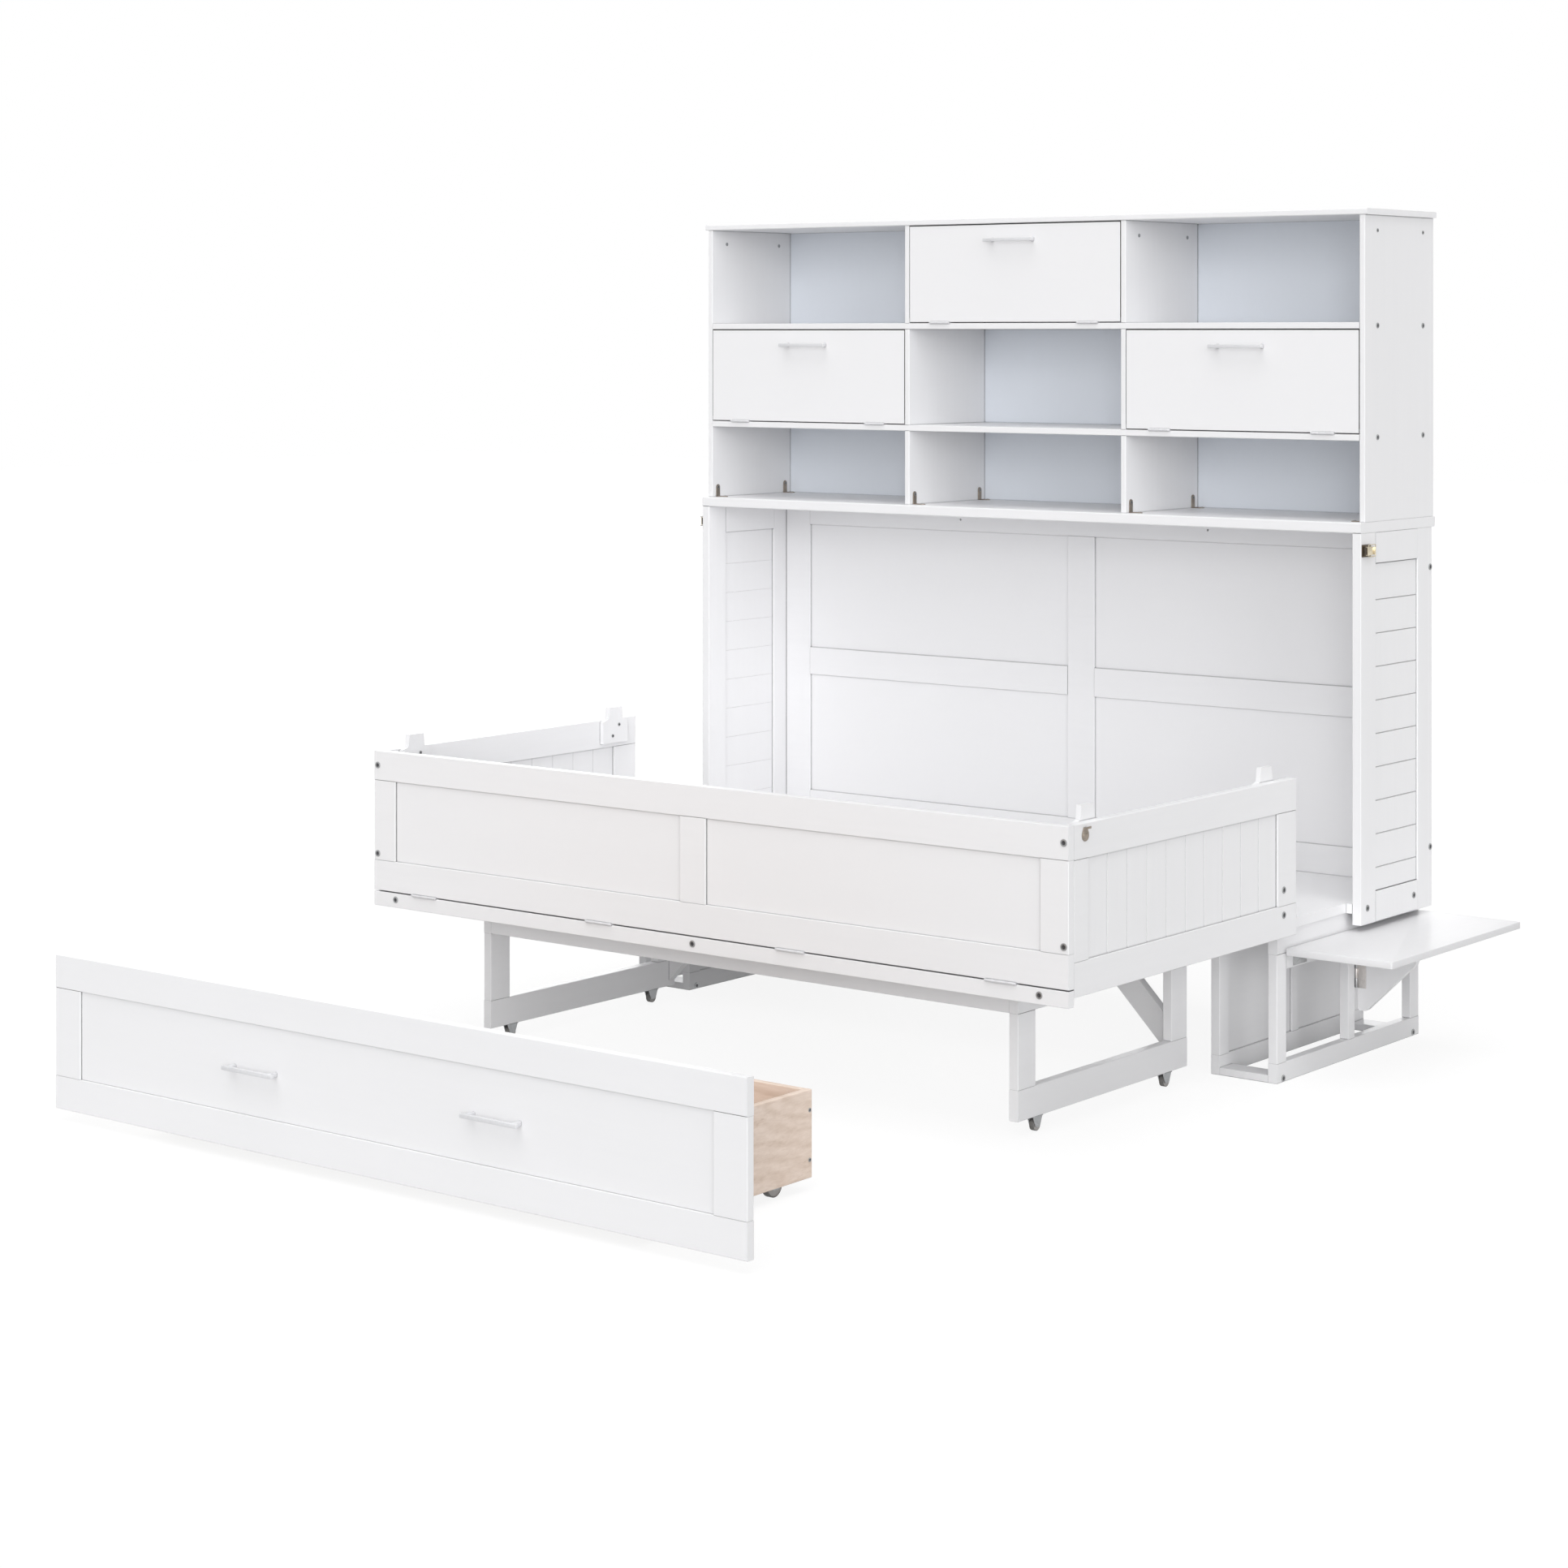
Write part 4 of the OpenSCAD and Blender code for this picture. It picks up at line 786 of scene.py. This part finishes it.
def pine_group():
    """Bare pine: growth rings cut lengthwise, fine fibres, short dashes and a few knots."""
    inputs = {
        "Early wood": (0.7, 0.6, 0.5, 1.0),
        "Late wood": (0.5, 0.4, 0.3, 1.0),
        "Along": (1.0, 1.0, 1.0),
        "Contrast": 0.6,
    }
    group, start, end = new_group("Pine grain", inputs)
    where, stretched = places(group, start)
    warp = noise(group, stretched, 5.0, 3.0, output="Color")
    bent = vectors(group, "MULTIPLY_ADD", warp, (0.16, 0.16, 0.16), stretched)[0]
    rings = new_node(
        group,
        "TexWave",
        {"Vector": bent, "Scale": 15.0, "Distortion": 2.6, "Detail": 2.0},
        wave_type="BANDS",
        bands_direction="DIAGONAL",
        wave_profile="SIN",
    )
    knot = new_node(group, "TexVoronoi", {"Vector": where, "Scale": 3.4})
    fibre = noise(group, stretched, 140.0, 4.0, 0.6)
    dash = noise(group, stretched, 46.0, 5.0, 0.72)
    band = spread(group, rings.outputs["Fac"], 0.35, 1.0, 0.0, 1.0)
    band = times(group, band, start["Contrast"])
    threads = spread(group, fibre, 0.35, 0.7, 0.0, 0.40)
    knots = spread(group, knot.outputs["Distance"], 0.02, 0.075, 0.75, 0.0)
    dashes = spread(group, dash, 0.56, 0.70, 0.0, 0.45)
    total = added(group, added(group, band, threads), added(group, knots, dashes))
    share = new_node(group, "Clamp", {"Value": total}).outputs[0]
    colour = mixed(group, share, start["Early wood"], start["Late wood"])
    rough = spread(group, share, 0.0, 1.0, 0.62, 0.50)
    height = added(group, fibre, times(group, share, -0.3))
    fill(end, {"Colour": colour, "Roughness": rough, "Height": height})
    return group


def metal_group():
    """Plated metal: cloudy plating, fine brushing and small scratches."""
    inputs = {"Colour": (0.6, 0.6, 0.6, 1.0), "Tarnish": 0.3, "Roughness": 0.3}
    group, start, end = new_group("Plating", inputs)
    where = object_place(group)
    cloud = noise(group, where, 120.0, 4.0)
    streak = noise(group, where, 1400.0, 2.0)
    dark = darker(group, start["Colour"], 0.55)
    share = times(group, spread(group, cloud, 0.35, 0.7, 0.0, 1.0), start["Tarnish"])
    colour = mixed(group, share, start["Colour"], dark)
    rough = added(group, start["Roughness"], spread(group, streak, 0.3, 0.7, -0.06, 0.09))
    rough = added(group, rough, times(group, share, 0.15))
    fill(end, {"Colour": colour, "Roughness": rough, "Height": streak})
    return group


GROUPS = {}


def place_group(tree, make, values):
    """Puts a shared group into a material. It is made for the first material that needs it."""
    if make not in GROUPS:
        GROUPS[make] = make()
    return new_node(tree, "Group", values, node_tree=GROUPS[make]).outputs


# ---- materials

# The grain runs along the axis on which this vector is small
LONG_X = (0.06, 1.0, 1.0)
LONG_Y = (1.0, 0.06, 1.0)
LONG_Z = (1.0, 1.0, 0.06)
# The box's front and back run along x and its sides along y
PINE_ALONG = (0.09, 0.26, 1.0)
WHITE = (1.0, 1.0, 1.0, 1.0)
# What dust adds to the colour of plastic and rubber
DUST = (0.16, 0.155, 0.145)


def principled(name):
    material = bpy.data.materials.new(name)
    material.use_nodes = True
    return material, material.node_tree, material.node_tree.nodes["Principled BSDF"]


def bump_from(tree, height, distance, strength, **normal):
    values = {"Height": height, "Distance": distance, "Strength": strength}
    return new_node(tree, "Bump", {**values, **normal}).outputs["Normal"]


def rgba(colour):
    """A colour without alpha as an opaque one, kept below white."""
    return tuple(min(1.0, part) for part in colour) + (1.0,)


def lighter(colour, factor):
    return rgba([part * factor for part in colour])


def finished(name, make, values, wear, rubbed, bump):
    """A material made from one finish group, with its edges rubbed to another colour.

    wear is the radius and the amount of the rubbing, bump its distance and its strength.
    """
    material, tree, shader = principled(name)
    skin = place_group(tree, make, values)
    edge = place_group(tree, edge_group, {"Radius": wear[0], "Amount": wear[1]})
    tone = mixed(tree, edge["Mask"], skin["Colour"], rubbed)
    normal = bump_from(tree, skin["Height"], *bump, Normal=edge["Normal"])
    fill(shader, {"Base Color": tone, "Roughness": skin["Roughness"], "Normal": normal})
    return material, tree, shader, tone


def lacquer(name, colour, along, grain=0.5, cloud=0.03, seams=0.84, shine=0.42):
    """Lacquer whose grain runs along one axis: the vector is small on that axis.

    seams sets how strongly painted shade darkens gaps and inner corners, from 0.5 to 1, and
    shine how much the lacquer reflects.
    """
    finish = bpy.context.scene.wall_bed_finish
    film = {"Colour": rgba(colour), "Cloudiness": cloud, "Grain": grain, "Along": along}
    rubbed = rgba((colour[0] * 1.08, colour[1] * 1.08, colour[2] * 1.07))
    wear = (finish.rounding, 0.2)
    material, tree, shader, tone = finished(
        name, lacquer_group, film, wear, rubbed, (0.0004, 0.35)
    )
    # Painted shade: an occlusion mask darkens gaps, seams and inner corners towards the seam colour
    crevice = place_group(tree, painted_crevice_shade_group, {"Depth": finish.crevice, "Open": seams})
    shaded = mixed(tree, crevice["Mask"], tone, rgba(finish.painted_seam_shade))
    coat = {"Coat Weight": 0.2 * shine, "Coat Roughness": 0.23}
    fill(shader, {"Base Color": shaded, "Specular IOR Level": shine, **coat})
    return material


def bare_pine(name, along):
    finish = bpy.context.scene.wall_bed_finish
    early, late = rgba(finish.pine), rgba(finish.pine_late)
    wood = {"Early wood": early, "Late wood": late, "Along": along, "Contrast": 0.24}
    wear = (finish.rounding, 0.35)
    pale = lighter(finish.pine, 1.12)
    material, _, shader, _ = finished(name, pine_group, wood, wear, pale, (0.0005, 0.4))
    fill(shader, {"Specular IOR Level": 0.3})
    return material


def plated(name, colour, tarnish, rough, metallic=1.0):
    skin = {"Colour": rgba(colour), "Tarnish": tarnish, "Roughness": rough}
    wear = (0.0006, 0.7)
    bright = lighter(colour, 1.35)
    material, _, shader, _ = finished(name, metal_group, skin, wear, bright, (0.00008, 0.4))
    fill(shader, {"Metallic": metallic})
    return material


def moulded(name, colour, rough):
    """Moulded plastic or rubber with a fine stipple and patches of dust."""
    material, tree, shader = principled(name)
    where = object_place(tree)
    dust = spread(tree, noise(tree, where, 70.0, 4.0), 0.42, 0.72, 0.0, 0.35)
    dusty = rgba([part + more for part, more in zip(colour, DUST)])
    tone = mixed(tree, dust, rgba(colour), dusty)
    rough = spread(tree, dust, 0.0, 0.35, rough, rough + 0.2)
    normal = bump_from(tree, noise(tree, where, 1600.0, 1.0), 0.0001, 0.4)
    fill(shader, {"Base Color": tone, "Roughness": rough, "Normal": normal})
    return material


def paint(material, *names):
    """Puts a material on CAD nodes in every slot they have."""
    for name in names:
        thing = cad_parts[name]
        if not thing.data.materials:
            thing.data.materials.append(material)
        for slot in thing.material_slots:
            slot.material = material


def finish_named(name):
    """The material of a CAD node, so that a modelled piece gets the same finish."""
    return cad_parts[name].data.materials[0]


# ---- operators


class WALLBED_OT_boards(bpy.types.Operator):
    """Lacquers the boards of the cabinet, the bed box, the cart and the drawer front"""

    bl_idname = "wallbed.boards"
    bl_label = "Lacquered boards"

    def execute(self, context):
        white = context.scene.wall_bed_finish.front_white
        paint(
            lacquer("white lacquer, grain across", white, LONG_X),
            "back_frame", "desk_board", "hutch_top", "hutch_shelves", "bed_front_frame",
            "platform_rail", "bed_slats", "cart_beams",
        )
        paint(
            lacquer("white lacquer, grain front to back", white, LONG_Y),
            "pedestal_left", "pedestal_right", "bed_side_left",
            "bed_side_right", "platform_joists", "cart_frames", "table_leaf",
        )
        paint(
            lacquer("white lacquer, upright grain", white, LONG_Z),
            "cabinet_side_left", "cabinet_side_right", "hutch_side_left", "hutch_side_right",
            "hutch_dividers", "bed_tongues", "table_bracket",
        )
        paint(
            lacquer("white lacquer, tongued boards", white, LONG_Z, seams=0.96),
            "cabinet_side_boards", "bed_side_boards",
        )
        paint(
            lacquer("white lacquer, drawer front", white, LONG_X, grain=0.3, seams=0.70),
            "drawer_front_frame", "drawer_front_panel",
        )
        paint(
            lacquer("white lacquer, smooth panel", white, LONG_X, grain=0.12, cloud=0.02),
            "base_deck", "back_panels", "bed_front_panels",
            "flap_top_middle", "flap_mid_left", "flap_mid_right",
        )
        return {"FINISHED"}


class WALLBED_OT_bookcase_back(bpy.types.Operator):
    """Paints the blue-grey back of the bookcase"""

    bl_idname = "wallbed.bookcase_back"
    bl_label = "Bookcase back"

    def execute(self, context):
        colour = context.scene.wall_bed_finish.back_grey
        board = lacquer("blue-grey back board", colour, LONG_Z, grain=0.2, cloud=0.05)
        paint(board, "hutch_back")
        return {"FINISHED"}


class WALLBED_OT_drawer_box(bpy.types.Operator):
    """Gives the drawer's box its bare pine"""

    bl_idname = "wallbed.drawer_box"
    bl_label = "Drawer box"

    def execute(self, context):
        paint(bare_pine("bare pine", PINE_ALONG), "drawer_box")
        return {"FINISHED"}


class WALLBED_OT_hardware(bpy.types.Operator):
    """Finishes bolts, hinges, latches, brackets, handles and wheels"""

    bl_idname = "wallbed.hardware"
    bl_label = "Hardware"

    def execute(self, context):
        finish = context.scene.wall_bed_finish
        paint(
            plated("zinc plate", finish.zinc, 0.35, 0.34),
            "cabinet_bolts", "bed_bolts", "bed_pivot_pins", "pivot_plates",
            "table_hinge_seats", "table_leaf_hinges", "drawer_fittings",
        )
        bronze = plated("dark bronze plate", finish.bronze, 0.5, 0.36)
        paint(bronze, "corner_brackets", "latch_keepers")
        paint(plated("aged brass plate", finish.aged_brass, 0.6, 0.34), "latch_bases")
        paint(
            plated("bright brass plate", finish.bright_brass, 0.35, 0.24),
            "latch_lever_left", "latch_lever_right", "latch_loop_left", "latch_loop_right",
        )
        paint(
            plated("grey-white powder coat", finish.powder_coat, 0.10, 0.42, metallic=0.0),
            "drawer_handles", "flap_fittings_top_middle", "flap_fittings_mid_left",
            "flap_fittings_mid_right", "flap_hinge_seats", "platform_hinges",
        )
        paint(plated("copper plate", finish.copper, 0.3, 0.40), "table_bracket_hinge")
        steel = plated("grey caster steel", finish.caster_steel, 0.25, 0.4, metallic=0.5)
        paint(steel, "cart_caster_forks")
        paint(
            moulded("grey wheel plastic", finish.hub, 0.40),
            "cart_wheels_front", "cart_wheels_rear", "drawer_wheels_front", "drawer_wheels_rear",
        )
        return {"FINISHED"}


class WALLBED_OT_bolts(bpy.types.Operator):
    """Models the bolts of the cabinet and of the bed box"""

    bl_idname = "wallbed.bolts"
    bl_label = "Bolts"

    def execute(self, context):
        # Painted shade for the dish and socket of each bolt head
        socket = plated("painted shade in bolt sockets", context.scene.wall_bed_finish.socket, 0.4, 0.4)
        least = context.scene.wall_bed_fittings.bolt_least
        for node, body in (("cabinet_bolts", "cabinet"), ("bed_bolts", "bed")):
            made = bolts_for(solids_of(node), finish_named(node), socket, least=least)
            settle(joined(node + "_turned", made), body, "zinc_steel", None, node)
        return {"FINISHED"}


class WALLBED_OT_casters(bpy.types.Operator):
    """Models the casters of the cart, and the wheels and the screws of the drawer"""

    bl_idname = "wallbed.casters"
    bl_label = "Casters"

    def execute(self, context):
        finish = context.scene.wall_bed_finish
        hub = finish_named("cart_wheels_front")
        tread = moulded("dark tread", finish.tread, 0.5)
        for body in ("cart", "drawer"):
            for end in ("front", "rear"):
                node = body + "_wheels_" + end
                axle = body + "_" + end + "_wheels"
                wheels(node + "_turned", node, axle, "wheel_plastic", hub, tread)
        steel = finish_named("cart_caster_forks")
        holders = boxes_of("cart_caster_forks")
        made = forks_for(holders, "cart_wheels_front", "cart_wheels_rear")
        piece = joined("cart_forks_pressed", made)
        settle(piece, "cart", "caster_metal", steel, "cart_caster_forks")
        # Of the drawer's fittings, the forks are larger than this and the screws smaller
        least_width, least_depth = 0.02, 0.04
        screws = []
        holders = []
        for points in solids_of("drawer_fittings"):
            low, high = corners(points)
            if high.x - low.x > least_width and high.y - low.y > least_depth:
                holders.append((low, high))
            else:
                screws.append(points)
        made = forks_for(holders, "drawer_wheels_front", "drawer_wheels_rear")
        zinc = finish_named("drawer_fittings")
        for fork in made:
            fork.data.materials.append(zinc)
        # Painted shade for the dish and socket of each screw head
        socket = plated("painted shade in screw recesses", finish.socket, 0.4, 0.4)
        piece = joined("drawer_fittings_pressed", made + bolts_for(screws, zinc, socket))
        settle(piece, "drawer", "zinc_steel", None, "drawer_fittings")
        return {"FINISHED"}


class WALLBED_OT_handles(bpy.types.Operator):
    """Models the bar handles of the drawer and the flaps, with the flaps' hinge leaves"""

    bl_idname = "wallbed.handles"
    bl_label = "Handles"

    def execute(self, context):
        fittings = context.scene.wall_bed_fittings
        pairs = (
            ("drawer_handles", "drawer"),
            ("flap_fittings_top_middle", "top_flap"),
            ("flap_fittings_mid_left", "left_flap"),
            ("flap_fittings_mid_right", "right_flap"),
        )

        def is_leaf(low, high):
            return high.x - low.x <= fittings.handle_least

        for node, body in pairs:
            boxes = boxes_of(node)
            made = [
                handle_bar(low, high, fittings.handle_inset, fittings.handle_rounding)
                for low, high in boxes
                if not is_leaf(low, high)
            ]
            if len(made) < len(boxes):
                made.append(softened("leaves", node, 0.0003, 2, is_leaf))
            piece = joined(node + "_cast", made)
            settle(piece, body, "white_hardware", finish_named(node), node)
        return {"FINISHED"}


class WALLBED_OT_latches(bpy.types.Operator):
    """Models the levers, wire loops, base plates and keepers of the two latches"""

    bl_idname = "wallbed.latches"
    bl_label = "Latches"

    def execute(self, context):
        right = latch_handle("latch_lever_right_pressed", "latch_lever_right")
        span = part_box("latch_lever_right")[1].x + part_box("latch_lever_left")[0].x
        mirror = Matrix.Scale(-1.0, 4, (1.0, 0.0, 0.0))
        flip = Matrix.Translation((span, 0.0, 0.0)) @ mirror
        left = copy_of(right, "latch_lever_left_pressed", flip)
        recalculate_normals(left)
        brass = finish_named("latch_lever_right")
        settle(right, "right_lever", "bronze_metal", brass, "latch_lever_right")
        settle(left, "left_lever", "bronze_metal", brass, "latch_lever_left")
        gauge = context.scene.wall_bed_fittings.wire_gauge
        for side in ("left", "right"):
            node = "latch_loop_" + side
            wire = wire_loop(node + "_wire", node, gauge)
            settle(wire, side + "_loop", "bronze_metal", finish_named(node), node)
        for node, body in (("latch_bases", "cabinet"), ("latch_keepers", "bed")):
            piece = softened(node + "_pressed", node, 0.0004, 3)
            settle(piece, body, "bronze_metal", finish_named(node), node)
        return {"FINISHED"}


class WALLBED_OT_plates(bpy.types.Operator):
    """Rounds the corner brackets, the hinges and the pivot plates"""

    bl_idname = "wallbed.plates"
    bl_label = "Plates and hinges"

    def execute(self, context):
        plates = (
            ("corner_brackets", "cabinet", "bronze_metal", 0.0005),
            ("platform_hinges", "bed", "white_hardware", 0.0004),
            ("flap_hinge_seats", "cabinet", "white_hardware", 0.0003),
            ("pivot_plates", "bed", "zinc_steel", 0.0005),
            ("table_bracket_hinge", "bracket", "zinc_steel", 0.0003),
            ("table_hinge_seats", "cabinet", "zinc_steel", 0.0003),
        )
        for node, body, slot, rounding in plates:
            piece = softened(node + "_pressed", node, rounding)
            settle(piece, body, slot, finish_named(node), node)
        return {"FINISHED"}


class WALLBED_OT_reveals(bpy.types.Operator):
    """Models the dark bands and linings that paint the shade in the gaps round the flaps and beside
    the panels
    """

    bl_idname = "wallbed.reveals"
    bl_label = "Shadow gaps"

    def strip(self, name, width, low, high):
        """A thin strip with its edges just broken."""
        piece = block(name, low, high)
        round_edges(piece, width, 1)
        return piece

    def flap_gaps(self, fittings, dark):
        """Dark bands on the edges of each flap, and dark linings on the walls and the roof of its
        cell: painted shadow in the gaps.
        """
        band = fittings.band
        soft = band * 0.3
        flaps = (
            ("flap_top_middle", "top_flap"),
            ("flap_mid_left", "left_flap"),
            ("flap_mid_right", "right_flap"),
        )
        linings = []
        for node, body in flaps:
            low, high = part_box(node)
            front, back = low.y + 0.0008, low.y + 0.0045
            above_hinges = low.z + 0.012
            left, right = low.x - band, high.x + band
            parts = [
                self.strip("band", soft, (left, front, above_hinges), (low.x, back, high.z)),
                self.strip("band", soft, (high.x, front, above_hinges), (right, back, high.z)),
                self.strip("band", soft, (left, front, high.z), (right, back, high.z + band)),
            ]
            settle(joined(node + "_painted_shadow_band", parts), body, "white_lacquer", dark)
            wall, other_wall = low.x - fittings.flap_side_gap, high.x + fittings.flap_side_gap
            roof = high.z + fittings.flap_top_gap
            front = low.y + 0.0006
            side_end = (wall + band, low.y + 0.006, high.z)
            roof_end = (other_wall, low.y + 0.012, roof)
            linings += [
                self.strip("lining", soft, (wall, front, above_hinges), side_end),
                self.strip("lining", soft, (wall, front, roof - band), roof_end),
            ]
        settle(joined("flap_gap_painted_shadow_linings", linings), "cabinet", "white_lacquer", dark)

    def panel_joints(self, node, body, width, grey):
        """A thin dark upright strip at both ends of each panel of a node, painted shade for the
        shadow gap beside the frame.
        """
        strips = []
        for low, high in boxes_of(node):
            for start in (low.x, high.x - width):
                near = (start, low.y - 0.0018, low.z)
                far = (start + width, low.y + 0.0002, high.z)
                strips.append(self.strip("joint", width * 0.2, near, far))
        settle(joined(node + "_joints", strips), body, "white_lacquer", grey)

    def execute(self, context):
        finish = context.scene.wall_bed_finish
        # Painted shadow: near-black strips in the gaps round the flaps
        dark = moulded("painted shadow band", finish.band, 0.6)
        self.flap_gaps(context.scene.wall_bed_fittings, dark)
        # Painted shade: grey strips beside the panels, where the shadow gaps are
        grey = moulded("grey panel joint", finish.joint, 0.6)
        self.panel_joints("bed_front_panels", "bed", 0.0012, grey)
        self.panel_joints("drawer_front_panel", "drawer", 0.0005, grey)
        return {"FINISHED"}


class WALLBED_OT_caps(bpy.types.Operator):
    """Models the screw caps on the inner walls of the two open top cells"""

    bl_idname = "wallbed.caps"
    bl_label = "Screw caps"

    def execute(self, context):
        low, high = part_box("hutch_side_left")
        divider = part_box("hutch_dividers")[1]
        radius, height = 0.0048, 0.0012
        from_front, from_back, from_top = 0.065, 0.058, 0.038
        master = rod("cap", radius, height, (0.0, 0.0, height / 2), sides=28)
        inset_faces(master, looks(Z, 1), (0.0010, 0.0), (0.0008, -0.0007))
        round_edges(master, 0.0002, 2)
        turn = turn_to(Vector((1.0, 0.0, 0.0)))
        caps = []
        for x in (high.x, divider.x):
            for y in (low.y + from_front, high.y - from_back):
                place = Matrix.Translation((x, y, high.z - from_top))
                caps.append(copy_of(master, "cap", place @ turn))
        drop(master)
        settle(joined("screw_caps", caps), "cabinet", "zinc_steel", finish_named("cabinet_bolts"))
        return {"FINISHED"}


class WALLBED_OT_leaf(bpy.types.Operator):
    """Models the leaf of the side table with round corners and soft edges"""

    bl_idname = "wallbed.leaf"
    bl_label = "Side table leaf"

    def execute(self, context):
        fittings = context.scene.wall_bed_fittings
        # The leaf's white is darkened, as painted shade that holds down the strong light on its
        # open top, and its lacquer is duller than the other boards
        tone = 0.885
        white = [tone * part for part in context.scene.wall_bed_finish.front_white]
        dull_and_shaded_lacquer = lacquer("white leaf lacquer", white, LONG_Y, grain=0.1, shine=0.14)
        piece = block("table_leaf_board", *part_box("table_leaf"))
        bevel_edges(piece, runs(Z), fittings.leaf_corner, 6)
        round_edges(piece, fittings.leaf_edge, 4, 50.0)
        settle(piece, "table", "white_lacquer", dull_and_shaded_lacquer, "table_leaf")
        return {"FINISHED"}


class WALLBED_OT_stage(bpy.types.Operator):
    """Sets up the pale floor, the soft lamps, the room light and the camera"""

    bl_idname = "wallbed.stage"
    bl_label = "Studio"

    # Name, place, softness in degrees, share of the lamps' strength
    lamps = (
        ("front lamp", (3.2, -6.0, 0.8), 28.0, 0.95),
        ("high lamp", (2.0, -5.5, 3.4), 36.0, 0.50),
        ("side lamp", (6.0, -2.6, 1.2), 40.0, 0.93),
        ("top lamp", (0.8, -1.5, 6.0), 60.0, 1.9),
        ("back lamp", (-4.5, 4.5, 0.9), 40.0, 1.2),
    )

    def blend(self, tree, share, first, second, output):
        """Blends two shader nodes by a share and shows the result."""
        values = {0: share, 1: first.outputs[0], 2: second.outputs[0]}
        fill(tree.nodes[output], {"Surface": new_node(tree, "MixShader", values).outputs[0]})

    def floor(self, studio):
        """A pale floor that glows for the camera and in reflections, so that it stays white."""
        clear_selection()
        bpy.ops.mesh.primitive_plane_add(size=60.0, location=(0.0, 0.0, -0.0005))
        floor = named("floor")
        material, tree, shader = principled("pale studio floor")
        tone = rgba([studio.floor_tone] * 3)
        fill(shader, {"Base Color": tone, "Roughness": 0.9, "Specular IOR Level": 0.1})
        glow = new_node(tree, "Emission", {"Color": WHITE, "Strength": studio.floor_glow})
        rays = new_node(tree, "LightPath", {}).outputs
        seen = added(tree, rays["Is Camera Ray"], rays["Is Glossy Ray"])
        glow_share = 0.75
        self.blend(tree, times(tree, seen, glow_share), shader, glow, "Material Output")
        floor.data.materials.append(material)

    def room(self, scene, strength):
        """Even room light. The camera sees plain white, a reflection sees it a little dimmed."""
        world = bpy.data.worlds.new("soft room")
        scene.world = world
        world.use_nodes = True
        tree = world.node_tree
        room = fill(tree.nodes["Background"], {"Color": WHITE, "Strength": strength})
        rays = new_node(tree, "LightPath", {}).outputs
        dimming = 0.25
        level = added(tree, times(tree, rays["Is Glossy Ray"], -dimming), 1.0)
        plain = new_node(tree, "Background", {"Color": WHITE, "Strength": level})
        seen = added(tree, rays["Is Camera Ray"], rays["Is Glossy Ray"])
        seen = added(tree, seen, rays["Is Transmission Ray"])
        self.blend(tree, seen, room, plain, "World Output")

    def place(self, scene, data, where, turn):
        """Puts a lamp or a camera into the scene."""
        thing = bpy.data.objects.new(data.name, data)
        scene.collection.objects.link(thing)
        thing.location = where
        thing.rotation_euler = turn
        return thing

    def execute(self, context):
        scene = context.scene
        studio = scene.wall_bed_studio
        self.floor(studio)
        self.room(scene, studio.sky)
        for name, where, softness, share in self.lamps:
            lamp = bpy.data.lights.new(name, "SUN")
            lamp.angle = math.radians(softness)
            lamp.energy = studio.key * share
            self.place(scene, lamp, where, Vector(where).to_track_quat("Z", "Y").to_euler())
        camera = bpy.data.cameras.new("camera")
        camera.sensor_width = 36.0
        camera.sensor_fit = "HORIZONTAL"
        camera.lens = studio.lens
        camera.shift_y = studio.rise
        turn = (math.pi / 2, 0.0, studio.camera_turn)
        scene.camera = self.place(scene, camera, studio.camera_place, turn)
        scene.view_settings.view_transform = "Standard"
        return {"FINISHED"}


class WALLBED_PT_sidebar(bpy.types.Panel):
    """Lists the settings of the wall bed and the steps that finish it"""

    bl_idname = "WALLBED_PT_sidebar"
    bl_label = "Wall Bed"
    bl_space_type = "VIEW_3D"
    bl_region_type = "UI"
    bl_category = "Wall Bed"

    def draw(self, context):
        layout = self.layout
        for settings in SETTINGS:
            group = getattr(context.scene, settings)
            for name in group.bl_rna.properties.keys():
                if name not in ("rna_type", "name"):
                    layout.prop(group, name)
        for step in STEPS:
            layout.operator(step.bl_idname)


STEPS = (
    WALLBED_OT_boards,
    WALLBED_OT_bookcase_back,
    WALLBED_OT_drawer_box,
    WALLBED_OT_hardware,
    WALLBED_OT_bolts,
    WALLBED_OT_casters,
    WALLBED_OT_handles,
    WALLBED_OT_latches,
    WALLBED_OT_plates,
    WALLBED_OT_reveals,
    WALLBED_OT_caps,
    WALLBED_OT_leaf,
    WALLBED_OT_stage,
)
SETTINGS = {
    "wall_bed_finish": WallBedFinish,
    "wall_bed_fittings": WallBedFittings,
    "wall_bed_studio": WallBedStudio,
}
CLASSES = (*SETTINGS.values(), *STEPS, WALLBED_PT_sidebar)


def register():
    for cls in CLASSES:
        bpy.utils.register_class(cls)
    for name, cls in SETTINGS.items():
        setattr(bpy.types.Scene, name, PointerProperty(type=cls))


def unregister():
    for name in SETTINGS:
        delattr(bpy.types.Scene, name)
    for cls in reversed(CLASSES):
        bpy.utils.unregister_class(cls)


def main():
    register()
    bpy.ops.wallbed.boards()
    bpy.ops.wallbed.bookcase_back()
    bpy.ops.wallbed.drawer_box()
    bpy.ops.wallbed.hardware()
    bpy.ops.wallbed.bolts()
    bpy.ops.wallbed.casters()
    bpy.ops.wallbed.handles()
    bpy.ops.wallbed.latches()
    bpy.ops.wallbed.plates()
    bpy.ops.wallbed.reveals()
    bpy.ops.wallbed.caps()
    bpy.ops.wallbed.leaf()
    bpy.ops.wallbed.stage()


if __name__ == "__main__":
    main()
